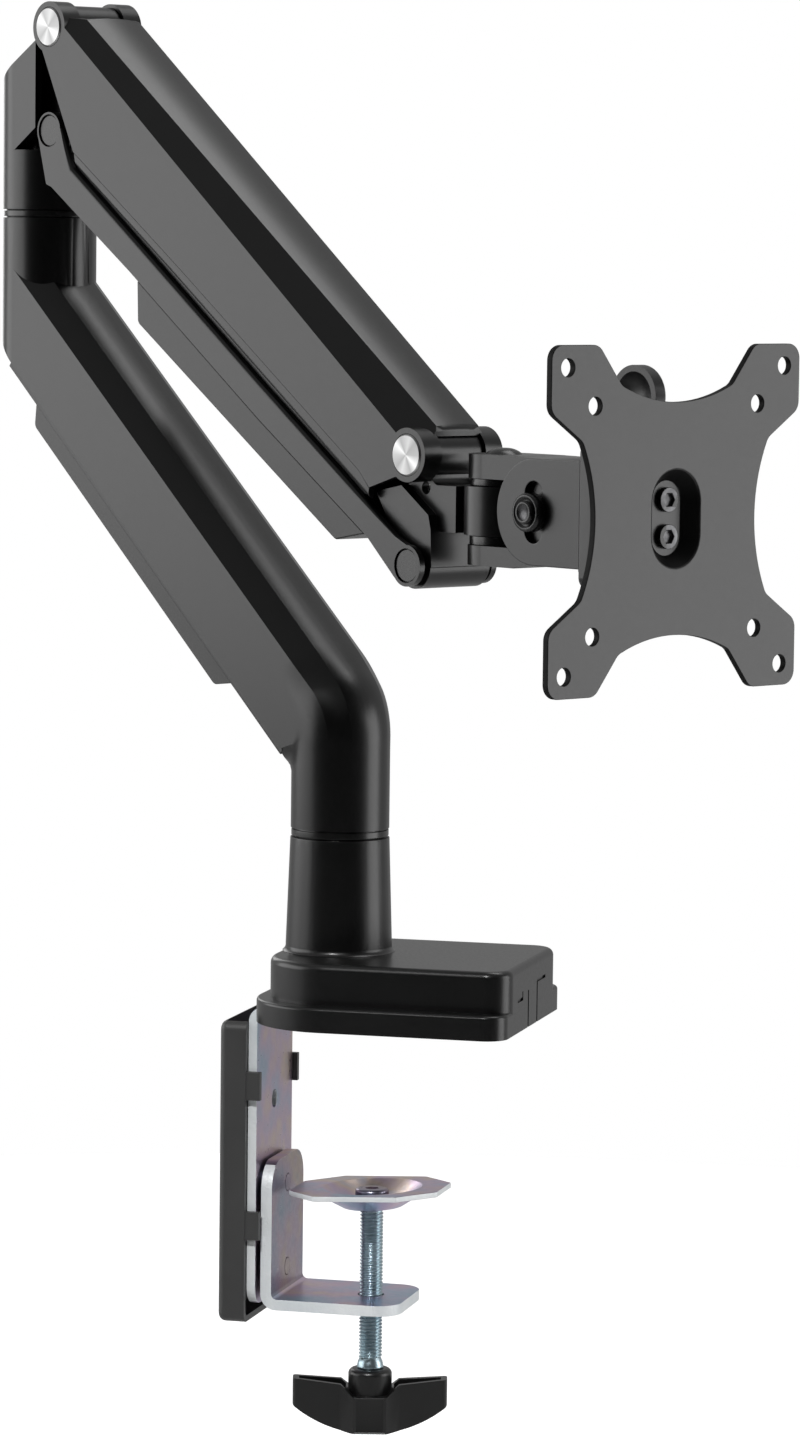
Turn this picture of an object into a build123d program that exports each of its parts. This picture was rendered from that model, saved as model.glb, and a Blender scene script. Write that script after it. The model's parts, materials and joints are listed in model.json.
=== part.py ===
from build123d import *
from math import cos, radians, sin, tan
import os

os.makedirs("parts", exist_ok=True)

# Frame: desk surface under the post is the origin, +Z up, +X along the arm to the monitor.
BASE_YAW = 33.33
KNOB_YAW = 48.1
TUBE_R = 17.5
ELBOW_X = -168.65

# Parallelogram: rear upper pin, its drop to the lower pin, and the pin distance along the arm.
PIN_X = -146.7
PIN_Z = 351.8
PIN_DROP = 38.0
PIN_REACH = 250.0
PIN_R = 4.0
HOLE_R = 4.3
HEAD_X = PIN_X + 0.8 * PIN_REACH
HEAD_Z = PIN_Z - 0.6 * PIN_REACH
LINK_S = 0.6 * PIN_DROP
LINK_T = -0.8 * PIN_DROP

# Widths, measured from the middle plane.
ARM_W = 18.2
FRAME_W = 15.3
STRIP_W = 17.9
TONGUE_W = 10.0
FLANK_W = 13.9
LINK_W = 18.0
LINK_IN = 15.7

# Lower arm: underside line, slope and thickness.
BAR_SLOPE = radians(40.17)
BAR_X = -170.0
BAR_Z = 228.2
BAR_TOP = 33.2
BAR_SIDE = 27.5

# Head.
PAN_X = 82.66
TILT_X = 112.9
TILT_Z = 184.8
WEB_X = 142.5
PLATE_X = 166.1
SPRING_T = -16.9
ANCHOR_DROP = 19.0

# Clamp, in the yawed frame of the base.
SCREW_X = 13.3
SCREW_R = 4.2
PAD_TILT = 2.7
FOOT_TOP = -99.7
FOOT_BOTTOM = -103.6
FACE_X = -17.9
JOIN_HIGH = -61.0
JOIN_LOW = -91.5

BASE_I = (cos(radians(BASE_YAW)), sin(radians(BASE_YAW)), 0)
BASE_J = (-sin(radians(BASE_YAW)), cos(radians(BASE_YAW)), 0)
KNOB_DIR = (cos(radians(KNOB_YAW)), sin(radians(KNOB_YAW)), 0)
BAR_C = cos(BAR_SLOPE)
BAR_S = sin(BAR_SLOPE)


def base_plan(z):
    return Plane(origin=(0, 0, z), x_dir=BASE_I, z_dir=(0, 0, 1))


def base_end(x):
    return Plane(origin=(BASE_I[0] * x, BASE_I[1] * x, 0), x_dir=BASE_J, z_dir=BASE_I)


def knob_plan(z):
    return Plane(origin=(SCREW_X * BASE_I[0], SCREW_X * BASE_I[1], z), x_dir=KNOB_DIR, z_dir=(0, 0, 1))


def arm_cross(s):
    origin = (PIN_X + 0.8 * s, 0, PIN_Z - 0.6 * s)
    return Plane(origin=origin, x_dir=(0, 1, 0), z_dir=(0.8, 0, -0.6))


def bar_point(s, t):
    return (BAR_X + s * BAR_C + t * BAR_S, BAR_Z - s * BAR_S + t * BAR_C)


def end_plane(x):
    return Plane(origin=(x, 0, TILT_Z), x_dir=(0, 1, 0), z_dir=(1, 0, 0))


BASE_SIDE = Plane(origin=(0, 0, 0), x_dir=BASE_I, z_dir=(-BASE_J[0], -BASE_J[1], 0))
KNOB_SIDE = Plane(
    origin=(SCREW_X * BASE_I[0], SCREW_X * BASE_I[1], 0), x_dir=KNOB_DIR,
    z_dir=(KNOB_DIR[1], -KNOB_DIR[0], 0),
)
SIDE = Plane.XZ
ARM = Plane(origin=(PIN_X, 0, PIN_Z), x_dir=(0.8, 0, -0.6), z_dir=(0, -1, 0))
PAD_ORIGIN = (SCREW_X * BASE_I[0], SCREW_X * BASE_I[1], -60.8)
PAD_DIR = (
    BASE_I[0] * cos(radians(PAD_TILT)),
    BASE_I[1] * cos(radians(PAD_TILT)),
    sin(radians(PAD_TILT)),
)
PAD_UP = (
    -BASE_I[0] * sin(radians(PAD_TILT)),
    -BASE_I[1] * sin(radians(PAD_TILT)),
    cos(radians(PAD_TILT)),
)
PAD = Plane(origin=PAD_ORIGIN, x_dir=PAD_DIR, z_dir=PAD_UP)
PAD_SIDE = Plane(origin=PAD_ORIGIN, x_dir=PAD_DIR, z_dir=(-BASE_J[0], -BASE_J[1], 0))

# Base housing: broad flange, inset upper body, hollow below, notch for the bracket leg.
with BuildPart() as base_housing:
    with BuildSketch(base_plan(0.4)) as flange:
        with BuildLine():
            Polyline((-24.6, -45), (71.2, -45), (71.2, 45), (-24.6, 45), close=True)
        make_face()
        fillet(flange.vertices().group_by(Axis.X)[0], 30)
        fillet(flange.vertices().group_by(Axis.X)[-1], 8)
    extrude(amount=8.6)
    fillet(base_housing.faces().sort_by(Axis.Z)[-1].edges(), 1.2)
    with BuildSketch(base_plan(8.0)) as body:
        with BuildLine():
            Polyline((-20.4, -38.6), (71.2, -38.6), (71.2, 38.6), (-20.4, 38.6), close=True)
        make_face()
        fillet(body.vertices().group_by(Axis.X)[0], 26)
        fillet(body.vertices().group_by(Axis.X)[-1], 9)
    extrude(amount=15.5)
    fillet(base_housing.faces().sort_by(Axis.Z)[-1].edges(), 2.5)
    with BuildSketch(base_plan(0.4)) as hollow:
        with BuildLine():
            Polyline((-16.5, -35), (67, -35), (67, 35), (-16.5, 35), close=True)
        make_face()
        fillet(hollow.vertices().group_by(Axis.X)[0], 22)
        fillet(hollow.vertices().group_by(Axis.X)[-1], 5)
    extrude(amount=18.6, mode=Mode.SUBTRACT)
    with BuildSketch(base_plan(5.0)):
        with Locations((38, 14), (38, -14)):
            Circle(5.5)
    extrude(amount=16)
    with BuildSketch(base_plan(0.4)):
        with Locations((-18, 0)):
            Rectangle(16, 46.4)
    extrude(amount=6.2, mode=Mode.SUBTRACT)
    with BuildSketch(base_plan(5.0)):
        Circle(9.2)
        with Locations((38, 14), (38, -14)):
            Circle(2.1)
    extrude(amount=12, mode=Mode.SUBTRACT)
    with BuildSketch(base_plan(16.0)):
        Circle(9.2)
    extrude(amount=10, mode=Mode.SUBTRACT)
    with BuildSketch(base_end(70.6)):
        with Locations((-19, 11.6)):
            Rectangle(8, 1.2)
        with Locations((-15.6, 12.6)):
            Rectangle(1.2, 3.2)
        with Locations((-7, 7)):
            Rectangle(1.4, 13.2)
        with Locations((12, 15.2)):
            Rectangle(13.2, 1.2)
        with Locations((6.2, 7.4)):
            Rectangle(1.4, 15.8)
    extrude(amount=2, mode=Mode.SUBTRACT)
base_housing.part.label = "base_housing"
export_step(base_housing.part, "parts/base_housing.step")

# Pad that meets the desk, below the bracket leg.
with BuildPart() as base_foam_pad:
    with BuildSketch(base_plan(0)) as pad_plan:
        with BuildLine():
            Polyline((-16.1, -34.6), (66.6, -34.6), (66.6, 34.6), (-16.1, 34.6), close=True)
        make_face()
        fillet(pad_plan.vertices().group_by(Axis.X)[0], 21.6)
        fillet(pad_plan.vertices().group_by(Axis.X)[-1], 4.6)
    extrude(amount=1.6)
    with BuildSketch(base_plan(0)):
        with Locations((38, 14), (38, -14)):
            Circle(6)
    extrude(amount=2, mode=Mode.SUBTRACT)
base_foam_pad.part.label = "base_foam_pad"
export_step(base_foam_pad.part, "parts/base_foam_pad.step")

# Tapered post with a flared foot.
with BuildPart() as post_tube:
    with BuildSketch(SIDE):
        with BuildLine():
            Line((9.3, 23.5), (20.2, 23.5))
            ThreePointArc((20.2, 23.5), (19.3, 24.3), (18.9, 26.0))
            Line((18.9, 26.0), (17.6, 64.3))
            Polyline((17.6, 64.3), (9.3, 64.3), (9.3, 23.5))
        make_face()
    revolve(axis=Axis.Z)
post_tube.part.label = "post_tube"
export_step(post_tube.part, "parts/post_tube.step")

with BuildPart() as post_spindle:
    with BuildSketch(base_plan(4.8)):
        Circle(14)
    extrude(amount=4)
    with BuildSketch(base_plan(8.8)):
        Circle(9)
    extrude(amount=88)
post_spindle.part.label = "post_spindle"
export_step(post_spindle.part, "parts/post_spindle.step")

with BuildPart() as lower_swivel_ring:
    with BuildSketch(SIDE):
        with BuildLine():
            Polyline(
                (9.4, 64.3), (16.3, 64.3), (16.3, 64.9), (17.3, 64.9), (17.3, 67),
                (16.3, 67), (16.3, 67.55), (9.4, 67.55), close=True,
            )
        make_face()
    revolve(axis=Axis.Z)
lower_swivel_ring.part.label = "lower_swivel_ring"
export_step(lower_swivel_ring.part, "parts/lower_swivel_ring.step")

# Upper bracket: one bent strip, long leg down behind the desk edge, short leg under the base.
with BuildPart() as clamp_bracket_upper:
    with BuildSketch(BASE_SIDE) as strip:
        with BuildLine():
            Polyline(
                (-26.4, -102), (-23.2, -102), (-23.2, 1.6), (52, 1.6), (52, 4.8), (-26.4, 4.8),
                close=True,
            )
        make_face()
        fillet(strip.vertices().sort_by_distance((-26.4, 4.8))[0], 5)
        fillet(strip.vertices().sort_by_distance((-23.2, 1.6))[0], 1.8)
    extrude(amount=22.7, both=True)
    low_corners = clamp_bracket_upper.faces().sort_by(Axis.Z)[0].edges().sort_by(Edge.length)[:2]
    fillet(low_corners, 7)
    with BuildSketch(base_end(-30)):
        with Locations((0, -31)):
            Circle(3.25)
        with Locations((0, JOIN_HIGH), (0, JOIN_LOW)):
            Circle(3.1)
    extrude(amount=10, mode=Mode.SUBTRACT)
    with BuildSketch(base_plan(0)):
        with Locations((38, 14), (38, -14)):
            Circle(2.2)
    extrude(amount=8, mode=Mode.SUBTRACT)
clamp_bracket_upper.part.label = "clamp_bracket_upper"
export_step(clamp_bracket_upper.part, "parts/clamp_bracket_upper.step")

# Lower bracket: upright with rounded top corners and the foot for the clamp screw.
with BuildPart() as clamp_bracket_lower:
    with BuildSketch(BASE_SIDE) as strip:
        with BuildLine():
            Polyline(
                (FACE_X - 4.1, FOOT_BOTTOM), (27.8, FOOT_BOTTOM), (27.8, FOOT_TOP),
                (FACE_X, FOOT_TOP), (FACE_X, -51), (FACE_X - 4.1, -51), close=True,
            )
        make_face()
        fillet(strip.vertices().sort_by_distance((FACE_X - 4.1, FOOT_BOTTOM))[0], 5.6)
        fillet(strip.vertices().sort_by_distance((FACE_X, FOOT_TOP))[0], 2)
    extrude(amount=20.5, both=True)
    top_corners = clamp_bracket_lower.faces().sort_by(Axis.Z)[-1].edges().sort_by(Edge.length)[:2]
    fillet(top_corners, 10)
    foot_tip = clamp_bracket_lower.faces().sort_by(Axis(origin=(0, 0, 0), direction=BASE_I))[-1]
    fillet(foot_tip.edges().filter_by(Axis.Z), 9)
    with BuildSketch(base_end(FACE_X - 8)):
        with Locations((0, JOIN_HIGH), (0, JOIN_LOW)):
            Circle(3.25)
    extrude(amount=10, mode=Mode.SUBTRACT)
    with BuildSketch(base_plan(FOOT_BOTTOM - 1)):
        with Locations((SCREW_X, 0)):
            Circle(SCREW_R + 0.5)
    extrude(amount=8, mode=Mode.SUBTRACT)
clamp_bracket_lower.part.label = "clamp_bracket_lower"
export_step(clamp_bracket_lower.part, "parts/clamp_bracket_lower.step")

# Screws that join the brackets, each with a spacer between the two strips.
with BuildPart() as bracket_screw_upper:
    with BuildSketch(base_end(-30)):
        with Locations((0, JOIN_HIGH)):
            Circle(3)
    extrude(amount=12.1)
    with BuildSketch(base_end(-23.2)):
        with Locations((0, JOIN_HIGH)):
            Circle(6)
    extrude(amount=1.2)
    with BuildSketch(base_end(-30)):
        with Locations((0, JOIN_HIGH)):
            RegularPolygon(radius=5.8, side_count=6)
    extrude(amount=3.6)
bracket_screw_upper.part.label = "bracket_screw_upper"
export_step(bracket_screw_upper.part, "parts/bracket_screw_upper.step")

with BuildPart() as bracket_screw_lower:
    with BuildSketch(base_end(-30)):
        with Locations((0, JOIN_LOW)):
            Circle(3)
    extrude(amount=12.1)
    with BuildSketch(base_end(-23.2)):
        with Locations((0, JOIN_LOW)):
            Circle(6)
    extrude(amount=1.2)
    with BuildSketch(base_end(-30)):
        with Locations((0, JOIN_LOW)):
            RegularPolygon(radius=5.8, side_count=6)
    extrude(amount=3.6)
bracket_screw_lower.part.label = "bracket_screw_lower"
export_step(bracket_screw_lower.part, "parts/bracket_screw_lower.step")

with BuildPart() as base_screw_left:
    with BuildSketch(base_plan(0.6)):
        with Locations((38, 14)):
            Circle(4.4)
    extrude(amount=1)
    with BuildSketch(base_plan(1.6)):
        with Locations((38, 14)):
            Circle(2)
    extrude(amount=14)
base_screw_left.part.label = "base_screw_left"
export_step(base_screw_left.part, "parts/base_screw_left.step")

with BuildPart() as base_screw_right:
    with BuildSketch(base_plan(0.6)):
        with Locations((38, -14)):
            Circle(4.4)
    extrude(amount=1)
    with BuildSketch(base_plan(1.6)):
        with Locations((38, -14)):
            Circle(2)
    extrude(amount=14)
base_screw_right.part.label = "base_screw_right"
export_step(base_screw_right.part, "parts/base_screw_right.step")

# Cover clipped over the back of the brackets, with two clip tabs on each side.
with BuildPart() as clamp_rear_cover:
    with BuildSketch(base_end(-36.4)):
        with Locations((0, -54)):
            RectangleRounded(51, 108, 3.5)
    extrude(amount=9.9)
    fillet(clamp_rear_cover.faces().sort_by(Axis(origin=(0, 0, 0), direction=BASE_I))[0].edges(), 2.5)
    with BuildSketch(base_end(-34.4)):
        with Locations((0, -54)):
            RectangleRounded(46.6, 103.6, 2)
        with Locations((0, 0)):
            Rectangle(46.4, 14)
    extrude(amount=12, mode=Mode.SUBTRACT)
    with BuildSketch(base_end(-30)):
        with Locations((24.1, -23), (-24.1, -23), (24.1, -73), (-24.1, -73)):
            Rectangle(2.4, 10)
    extrude(amount=8.6)
clamp_rear_cover.part.label = "clamp_rear_cover"
export_step(clamp_rear_cover.part, "parts/clamp_rear_cover.step")

# Clamp pad: plate with cut corners and a pressed round dish, resting slightly askew.
with BuildPart() as clamp_pad:
    with BuildSketch(PAD) as plate:
        with BuildLine():
            Polyline((-28, -22), (26.5, -22), (26.5, 22), (-28, 22), close=True)
        make_face()
        chamfer(plate.vertices(), 12)
        Circle(18, mode=Mode.SUBTRACT)
    extrude(amount=-2)
    with BuildSketch(PAD_SIDE):
        with BuildLine():
            Polyline(
                (3.8, -7.2), (10.5, -7.2), (19.6, -1.9), (19.6, 0), (18, 0), (9.6, -5.2), (3.8, -5.2),
                close=True,
            )
        make_face()
    revolve(axis=Axis(origin=PAD_ORIGIN, direction=PAD_UP))
clamp_pad.part.label = "clamp_pad"
export_step(clamp_pad.part, "parts/clamp_pad.step")

with BuildPart() as pad_retaining_screw:
    with BuildSketch(base_plan(-68.2)):
        with Locations((SCREW_X, 0)):
            Circle(2.6)
    extrude(amount=5.6)
    with BuildSketch(base_plan(-64.9)):
        with Locations((SCREW_X, 0)):
            Circle(6)
            RegularPolygon(radius=2.6, side_count=6, mode=Mode.SUBTRACT)
    extrude(amount=3.5)
    fillet(pad_retaining_screw.faces().sort_by(Axis.Z)[-1].outer_wire().edges(), 1.2)
pad_retaining_screw.part.label = "pad_retaining_screw"
export_step(pad_retaining_screw.part, "parts/pad_retaining_screw.step")

# Clamp screw: plain core of the thread, conical collar above the knob.
with BuildPart() as clamp_screw:
    with BuildSketch(BASE_SIDE):
        with BuildLine():
            Polyline(
                (SCREW_X, -144), (SCREW_X + 4, -144), (SCREW_X + 4, -126.4), (SCREW_X + 4.8, -126.4),
                (SCREW_X + 4.8, -125.4), (SCREW_X + SCREW_R, -122.6), (SCREW_X + SCREW_R, -69),
                (SCREW_X + 3.4, -68.2), (SCREW_X, -68.2), close=True,
            )
        make_face()
    screw_axis = Axis(origin=(SCREW_X * BASE_I[0], SCREW_X * BASE_I[1], 0), direction=(0, 0, 1))
    revolve(axis=screw_axis)
clamp_screw.part.label = "clamp_screw"
export_step(clamp_screw.part, "parts/clamp_screw.step")

# Hand knob: two hollow wings that drop towards a block in the middle, and a round hub.
with BuildPart() as clamp_knob:
    with BuildSketch(knob_plan(-148.6)) as wings:
        with BuildLine():
            Polyline(
                (-27.6, -3.6), (-11, -6.2), (-5.8, -9.4), (5.8, -9.4), (11, -6.2), (27.6, -3.6),
                (27.6, 3.6), (11, 6.2), (5.8, 9.4), (-5.8, 9.4), (-11, 6.2), (-27.6, 3.6), close=True,
            )
        make_face()
        fillet(wings.vertices().group_by(Axis.X)[0], 1.6)
        fillet(wings.vertices().group_by(Axis.X)[-1], 1.6)
    extrude(amount=20)
    with BuildSketch(KNOB_SIDE) as front:
        with BuildLine():
            Polyline(
                (-27.6, -139.6), (-27.6, -129.8), (-10.4, -131.4), (-6, -135.4), (6, -135.4), (10.4, -131.4),
                (27.6, -129.8), (27.6, -139.6),
            )
            ThreePointArc((27.6, -139.6), (18, -145.4), (6.4, -148.6))
            Line((6.4, -148.6), (-6.4, -148.6))
            ThreePointArc((-6.4, -148.6), (-18, -145.4), (-27.6, -139.6))
        make_face()
        fillet(front.vertices().sort_by_distance((-27.6, -139.6))[0], 1.5)
        fillet(front.vertices().sort_by_distance((27.6, -139.6))[0], 1.5)
    extrude(amount=12, both=True, mode=Mode.INTERSECT)
    for side in (1, -1):
        with BuildSketch(knob_plan(-139)):
            with BuildLine():
                Polyline(
                    (side * 8.6, -4.4), (side * 25.4, -1.8), (side * 25.4, 1.8), (side * 8.6, 4.4),
                    close=True,
                )
            make_face()
        extrude(amount=12, mode=Mode.SUBTRACT)
    with BuildSketch(knob_plan(-142)):
        Circle(7.8)
    extrude(amount=15.6)
    fillet(clamp_knob.faces().sort_by(Axis.Z)[-1].edges(), 2)
    with BuildSketch(knob_plan(-144)):
        Circle(4.05)
    extrude(amount=30, mode=Mode.SUBTRACT)
clamp_knob.part.label = "clamp_knob"
export_step(clamp_knob.part, "parts/clamp_knob.step")

# Lower arm: bevelled bar between two tubes, bent down into the front tube.
BEND_R = 32.0
BEND_T = BEND_R * tan((radians(90) - BAR_SLOPE) / 2)
TOP_X, TOP_Z = bar_point(0, BAR_TOP)
NOSE_Z = TOP_Z - tan(BAR_SLOPE) * (TUBE_R - TOP_X)
ARC_START = (TUBE_R - BEND_T * BAR_C, NOSE_Z + BEND_T * BAR_S)
ARC_END = (TUBE_R, NOSE_Z - BEND_T)
REAR_X = ELBOW_X - TUBE_R
REAR_Z = BAR_Z + tan(BAR_SLOPE) * (BAR_X - REAR_X)
with BuildPart() as lower_arm:
    with BuildSketch(SIDE) as bar:
        with BuildLine():
            Line((REAR_X, 275), (REAR_X, REAR_Z))
            Line((REAR_X, REAR_Z), (TUBE_R, BAR_Z - tan(BAR_SLOPE) * (TUBE_R - BAR_X)))
            Line((TUBE_R, BAR_Z - tan(BAR_SLOPE) * (TUBE_R - BAR_X)), ARC_END)
            TangentArc(ARC_END, ARC_START, tangent=(0, 1))
            Line(ARC_START, (ELBOW_X, TOP_Z + tan(BAR_SLOPE) * (TOP_X - ELBOW_X)))
            Line((ELBOW_X, TOP_Z + tan(BAR_SLOPE) * (TOP_X - ELBOW_X)), (ELBOW_X, 275))
            Line((ELBOW_X, 275), (REAR_X, 275))
        make_face()
        fillet(bar.vertices().sort_by_distance((REAR_X, REAR_Z))[0], 8)
    extrude(amount=TUBE_R, both=True)
    for side in (1, -1):
        with BuildSketch(Plane(origin=(TOP_X, 0, TOP_Z), x_dir=(0, 1, 0), z_dir=(BAR_C, 0, -BAR_S))):
            with BuildLine():
                Polyline((side * 9.4, 0), (side * 18.5, BAR_SIDE - BAR_TOP - 0.7), (side * 18.5, 1), close=True)
            make_face()
        extrude(amount=(ARC_START[0] - TOP_X) / BAR_C, mode=Mode.SUBTRACT)
        with BuildSketch(Plane(origin=(TOP_X, 0, TOP_Z), x_dir=(0, 1, 0), z_dir=(BAR_C, 0, -BAR_S))):
            with BuildLine():
                Polyline((side * 9.4, 0), (side * 18.5, BAR_SIDE - BAR_TOP - 0.7), (side * 18.5, 1), close=True)
            make_face()
        extrude(amount=-(TOP_X - ELBOW_X) / BAR_C, mode=Mode.SUBTRACT)
        with BuildSketch(Plane(origin=(ARC_END[0], 0, ARC_END[1]), x_dir=(0, 1, 0), z_dir=(0, 0, -1))):
            with BuildLine():
                Polyline((side * 9.4, 0), (side * 18.5, BAR_SIDE - BAR_TOP - 0.7), (side * 18.5, 1), close=True)
            make_face()
        bend_axis = Axis(origin=(TUBE_R - BEND_R, 0, ARC_END[1]), direction=(0, -1, 0))
        revolve(axis=bend_axis, revolution_arc=90 - 40.17, mode=Mode.SUBTRACT)
    with BuildSketch(Plane.XY.offset(50)):
        with Locations((ELBOW_X / 2, 0)):
            SlotCenterToCenter(-ELBOW_X, 2 * TUBE_R)
    extrude(amount=240, mode=Mode.INTERSECT)
    with BuildSketch(Plane.XY.offset(254)):
        with Locations((ELBOW_X, 0)):
            Circle(TUBE_R)
    extrude(amount=27.8)
    with BuildSketch(Plane.XY.offset(67.6)):
        Circle(TUBE_R)
    extrude(amount=31)
    with BuildSketch(SIDE):
        with BuildLine():
            Polyline(bar_point(22, -3), bar_point(22, 26), bar_point(186, 26), bar_point(186, -3), close=True)
        make_face()
    extrude(amount=13.4, both=True, mode=Mode.SUBTRACT)
    with BuildSketch(Plane.XY.offset(60)):
        Circle(12.2)
    extrude(amount=40, mode=Mode.SUBTRACT)
    with BuildSketch(Plane.XY.offset(250)):
        with Locations((ELBOW_X, 0)):
            Circle(8.05)
    extrude(amount=40, mode=Mode.SUBTRACT)
lower_arm.part.label = "lower_arm"
export_step(lower_arm.part, "parts/lower_arm.step")

# Cable cover under the bar: full-length lip with a deeper box in its middle.
with BuildPart() as lower_arm_cover:
    with BuildSketch(SIDE):
        with BuildLine():
            Polyline(bar_point(0.4, -1.8), bar_point(0.4, 0), bar_point(207, 0), bar_point(207, -1.8), close=True)
        make_face()
    extrude(amount=17.3, both=True)
    with BuildSketch(Plane.XY.offset(60)):
        with Locations((ELBOW_X / 2 - 6, 0)):
            SlotCenterToCenter(-ELBOW_X + 2, 34.6)
    extrude(amount=200, mode=Mode.INTERSECT)
    with BuildSketch(SIDE) as box:
        with BuildLine():
            Polyline(
                bar_point(21, -1.7), bar_point(26, -9.1), bar_point(164, -9.1), bar_point(171, -1.7),
                close=True,
            )
        make_face()
        fillet(box.vertices().sort_by_distance(bar_point(26, -9.1))[0], 3)
        fillet(box.vertices().sort_by_distance(bar_point(164, -9.1))[0], 3)
    extrude(amount=16.6, both=True)
    with BuildSketch(SIDE):
        with BuildLine():
            Polyline(
                bar_point(24.2, 1), bar_point(28.2, -7.5), bar_point(162.6, -7.5), bar_point(168, 1),
                close=True,
            )
        make_face()
    extrude(amount=13, both=True, mode=Mode.SUBTRACT)
    with BuildSketch(Plane.XY.offset(60)):
        Circle(TUBE_R + 0.1)
    extrude(amount=60, mode=Mode.SUBTRACT)
lower_arm_cover.part.label = "lower_arm_cover"
export_step(lower_arm_cover.part, "parts/lower_arm_cover.step")

with BuildPart() as lower_bush:
    with BuildSketch(Plane.XY.offset(68)):
        Circle(12.1)
        Circle(9.3, mode=Mode.SUBTRACT)
    extrude(amount=31)
lower_bush.part.label = "lower_bush"
export_step(lower_bush.part, "parts/lower_bush.step")

with BuildPart() as elbow_spindle:
    with BuildSketch(Plane.XY.offset(251)):
        with Locations((ELBOW_X, 0)):
            Circle(8)
    extrude(amount=66)
elbow_spindle.part.label = "elbow_spindle"
export_step(elbow_spindle.part, "parts/elbow_spindle.step")

with BuildPart() as elbow_swivel_ring:
    with BuildSketch(Plane(origin=(ELBOW_X, 0, 0), x_dir=(1, 0, 0), z_dir=(0, -1, 0))):
        with BuildLine():
            Polyline(
                (8.4, 281.8), (16.3, 281.8), (16.3, 282.35), (17.3, 282.35), (17.3, 284.35),
                (16.3, 284.35), (16.3, 284.9), (8.4, 284.9), close=True,
            )
        make_face()
    revolve(axis=Axis(origin=(ELBOW_X, 0, 0), direction=(0, 0, 1)))
elbow_swivel_ring.part.label = "elbow_swivel_ring"
export_step(elbow_swivel_ring.part, "parts/elbow_swivel_ring.step")

# Elbow yoke: tube, flat cheeks with a sloped back, central tongue for both rear pins.
with BuildPart() as elbow_yoke:
    with BuildSketch(Plane.XY.offset(290)):
        with Locations((ELBOW_X, 0)):
            Circle(TUBE_R)
        with Locations((ELBOW_X + 6.6, 0)):
            Rectangle(13.2, 2 * TUBE_R)
    extrude(amount=70)
    with BuildSketch(SIDE) as cheek:
        with BuildLine():
            Polyline(
                (REAR_X - 1, 300), (ELBOW_X, 306.5), (ELBOW_X + 13.2, 315), (ELBOW_X + 13.2, 347.2),
                (ELBOW_X - 12, 331.8), (REAR_X - 1, 325.4), close=True,
            )
        make_face()
        fillet(cheek.vertices().sort_by_distance((ELBOW_X - 12, 331.8))[0], 20)
    extrude(amount=30, both=True, mode=Mode.INTERSECT)
    with BuildSketch(Plane.XY.offset(284.95)):
        with Locations((ELBOW_X, 0)):
            Circle(TUBE_R)
    extrude(amount=22)
    with BuildSketch(SIDE.offset(TONGUE_W), SIDE.offset(-14.4)):
        with BuildLine():
            Polyline(
                (ELBOW_X - 8, 316), (ELBOW_X + 20, 316), (ELBOW_X + 20, 346), (ELBOW_X + 11, 342.6),
                (ELBOW_X - 8, 330), close=True,
            )
        make_face()
    extrude(amount=4.4, mode=Mode.SUBTRACT)
    with BuildSketch(SIDE):
        with Locations((PIN_X, PIN_Z), (PIN_X, PIN_Z - PIN_DROP)):
            Circle(8)
        with BuildLine():
            Polyline(
                (ELBOW_X, 330), (ELBOW_X, 308), (PIN_X - 4, 306.8), (PIN_X + 7, 313.8),
                (PIN_X + 7, 351.8), (PIN_X - 4.8, 358.2), (ELBOW_X + 11, 346), close=True,
            )
        make_face()
    extrude(amount=TONGUE_W, both=True)
    with BuildSketch(SIDE):
        with Locations((PIN_X, PIN_Z - ANCHOR_DROP)):
            Circle(10.8)
        with BuildLine():
            Polyline(
                (PIN_X, PIN_Z - ANCHOR_DROP - 10.8), (PIN_X + 8, PIN_Z - ANCHOR_DROP - 15),
                (PIN_X + 8, PIN_Z - ANCHOR_DROP + 15), (PIN_X, PIN_Z - ANCHOR_DROP + 10.8), close=True,
            )
        make_face()
    extrude(amount=4.2, both=True, mode=Mode.SUBTRACT)
    with BuildSketch(SIDE):
        with Locations((PIN_X, PIN_Z), (PIN_X, PIN_Z - PIN_DROP)):
            Circle(PIN_R)
        with Locations((PIN_X, PIN_Z - ANCHOR_DROP)):
            Circle(2.5)
    extrude(amount=30, both=True, mode=Mode.SUBTRACT)
    with BuildSketch(Plane.XY.offset(280)):
        with Locations((ELBOW_X, 0)):
            Circle(11)
    extrude(amount=39, mode=Mode.SUBTRACT)
elbow_yoke.part.label = "elbow_yoke"
export_step(elbow_yoke.part, "parts/elbow_yoke.step")

with BuildPart() as elbow_bush:
    with BuildSketch(Plane.XY.offset(286)):
        with Locations((ELBOW_X, 0)):
            Circle(11)
            Circle(8.3, mode=Mode.SUBTRACT)
    extrude(amount=32)
elbow_bush.part.label = "elbow_bush"
export_step(elbow_bush.part, "parts/elbow_bush.step")

with BuildPart() as rear_upper_pin:
    with BuildSketch(SIDE):
        with Locations((PIN_X, PIN_Z)):
            Circle(PIN_R)
    extrude(amount=16.6, both=True)
rear_upper_pin.part.label = "rear_upper_pin"
export_step(rear_upper_pin.part, "parts/rear_upper_pin.step")

with BuildPart() as rear_lower_pin:
    with BuildSketch(SIDE):
        with Locations((PIN_X, PIN_Z - PIN_DROP)):
            Circle(PIN_R)
    extrude(amount=17.2, both=True)
    with BuildSketch(SIDE.offset(16.7), SIDE.offset(-17.4)):
        with Locations((PIN_X, PIN_Z - PIN_DROP)):
            Circle(5.4)
    extrude(amount=0.7)
rear_lower_pin.part.label = "rear_lower_pin"
export_step(rear_lower_pin.part, "parts/rear_lower_pin.step")

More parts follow.
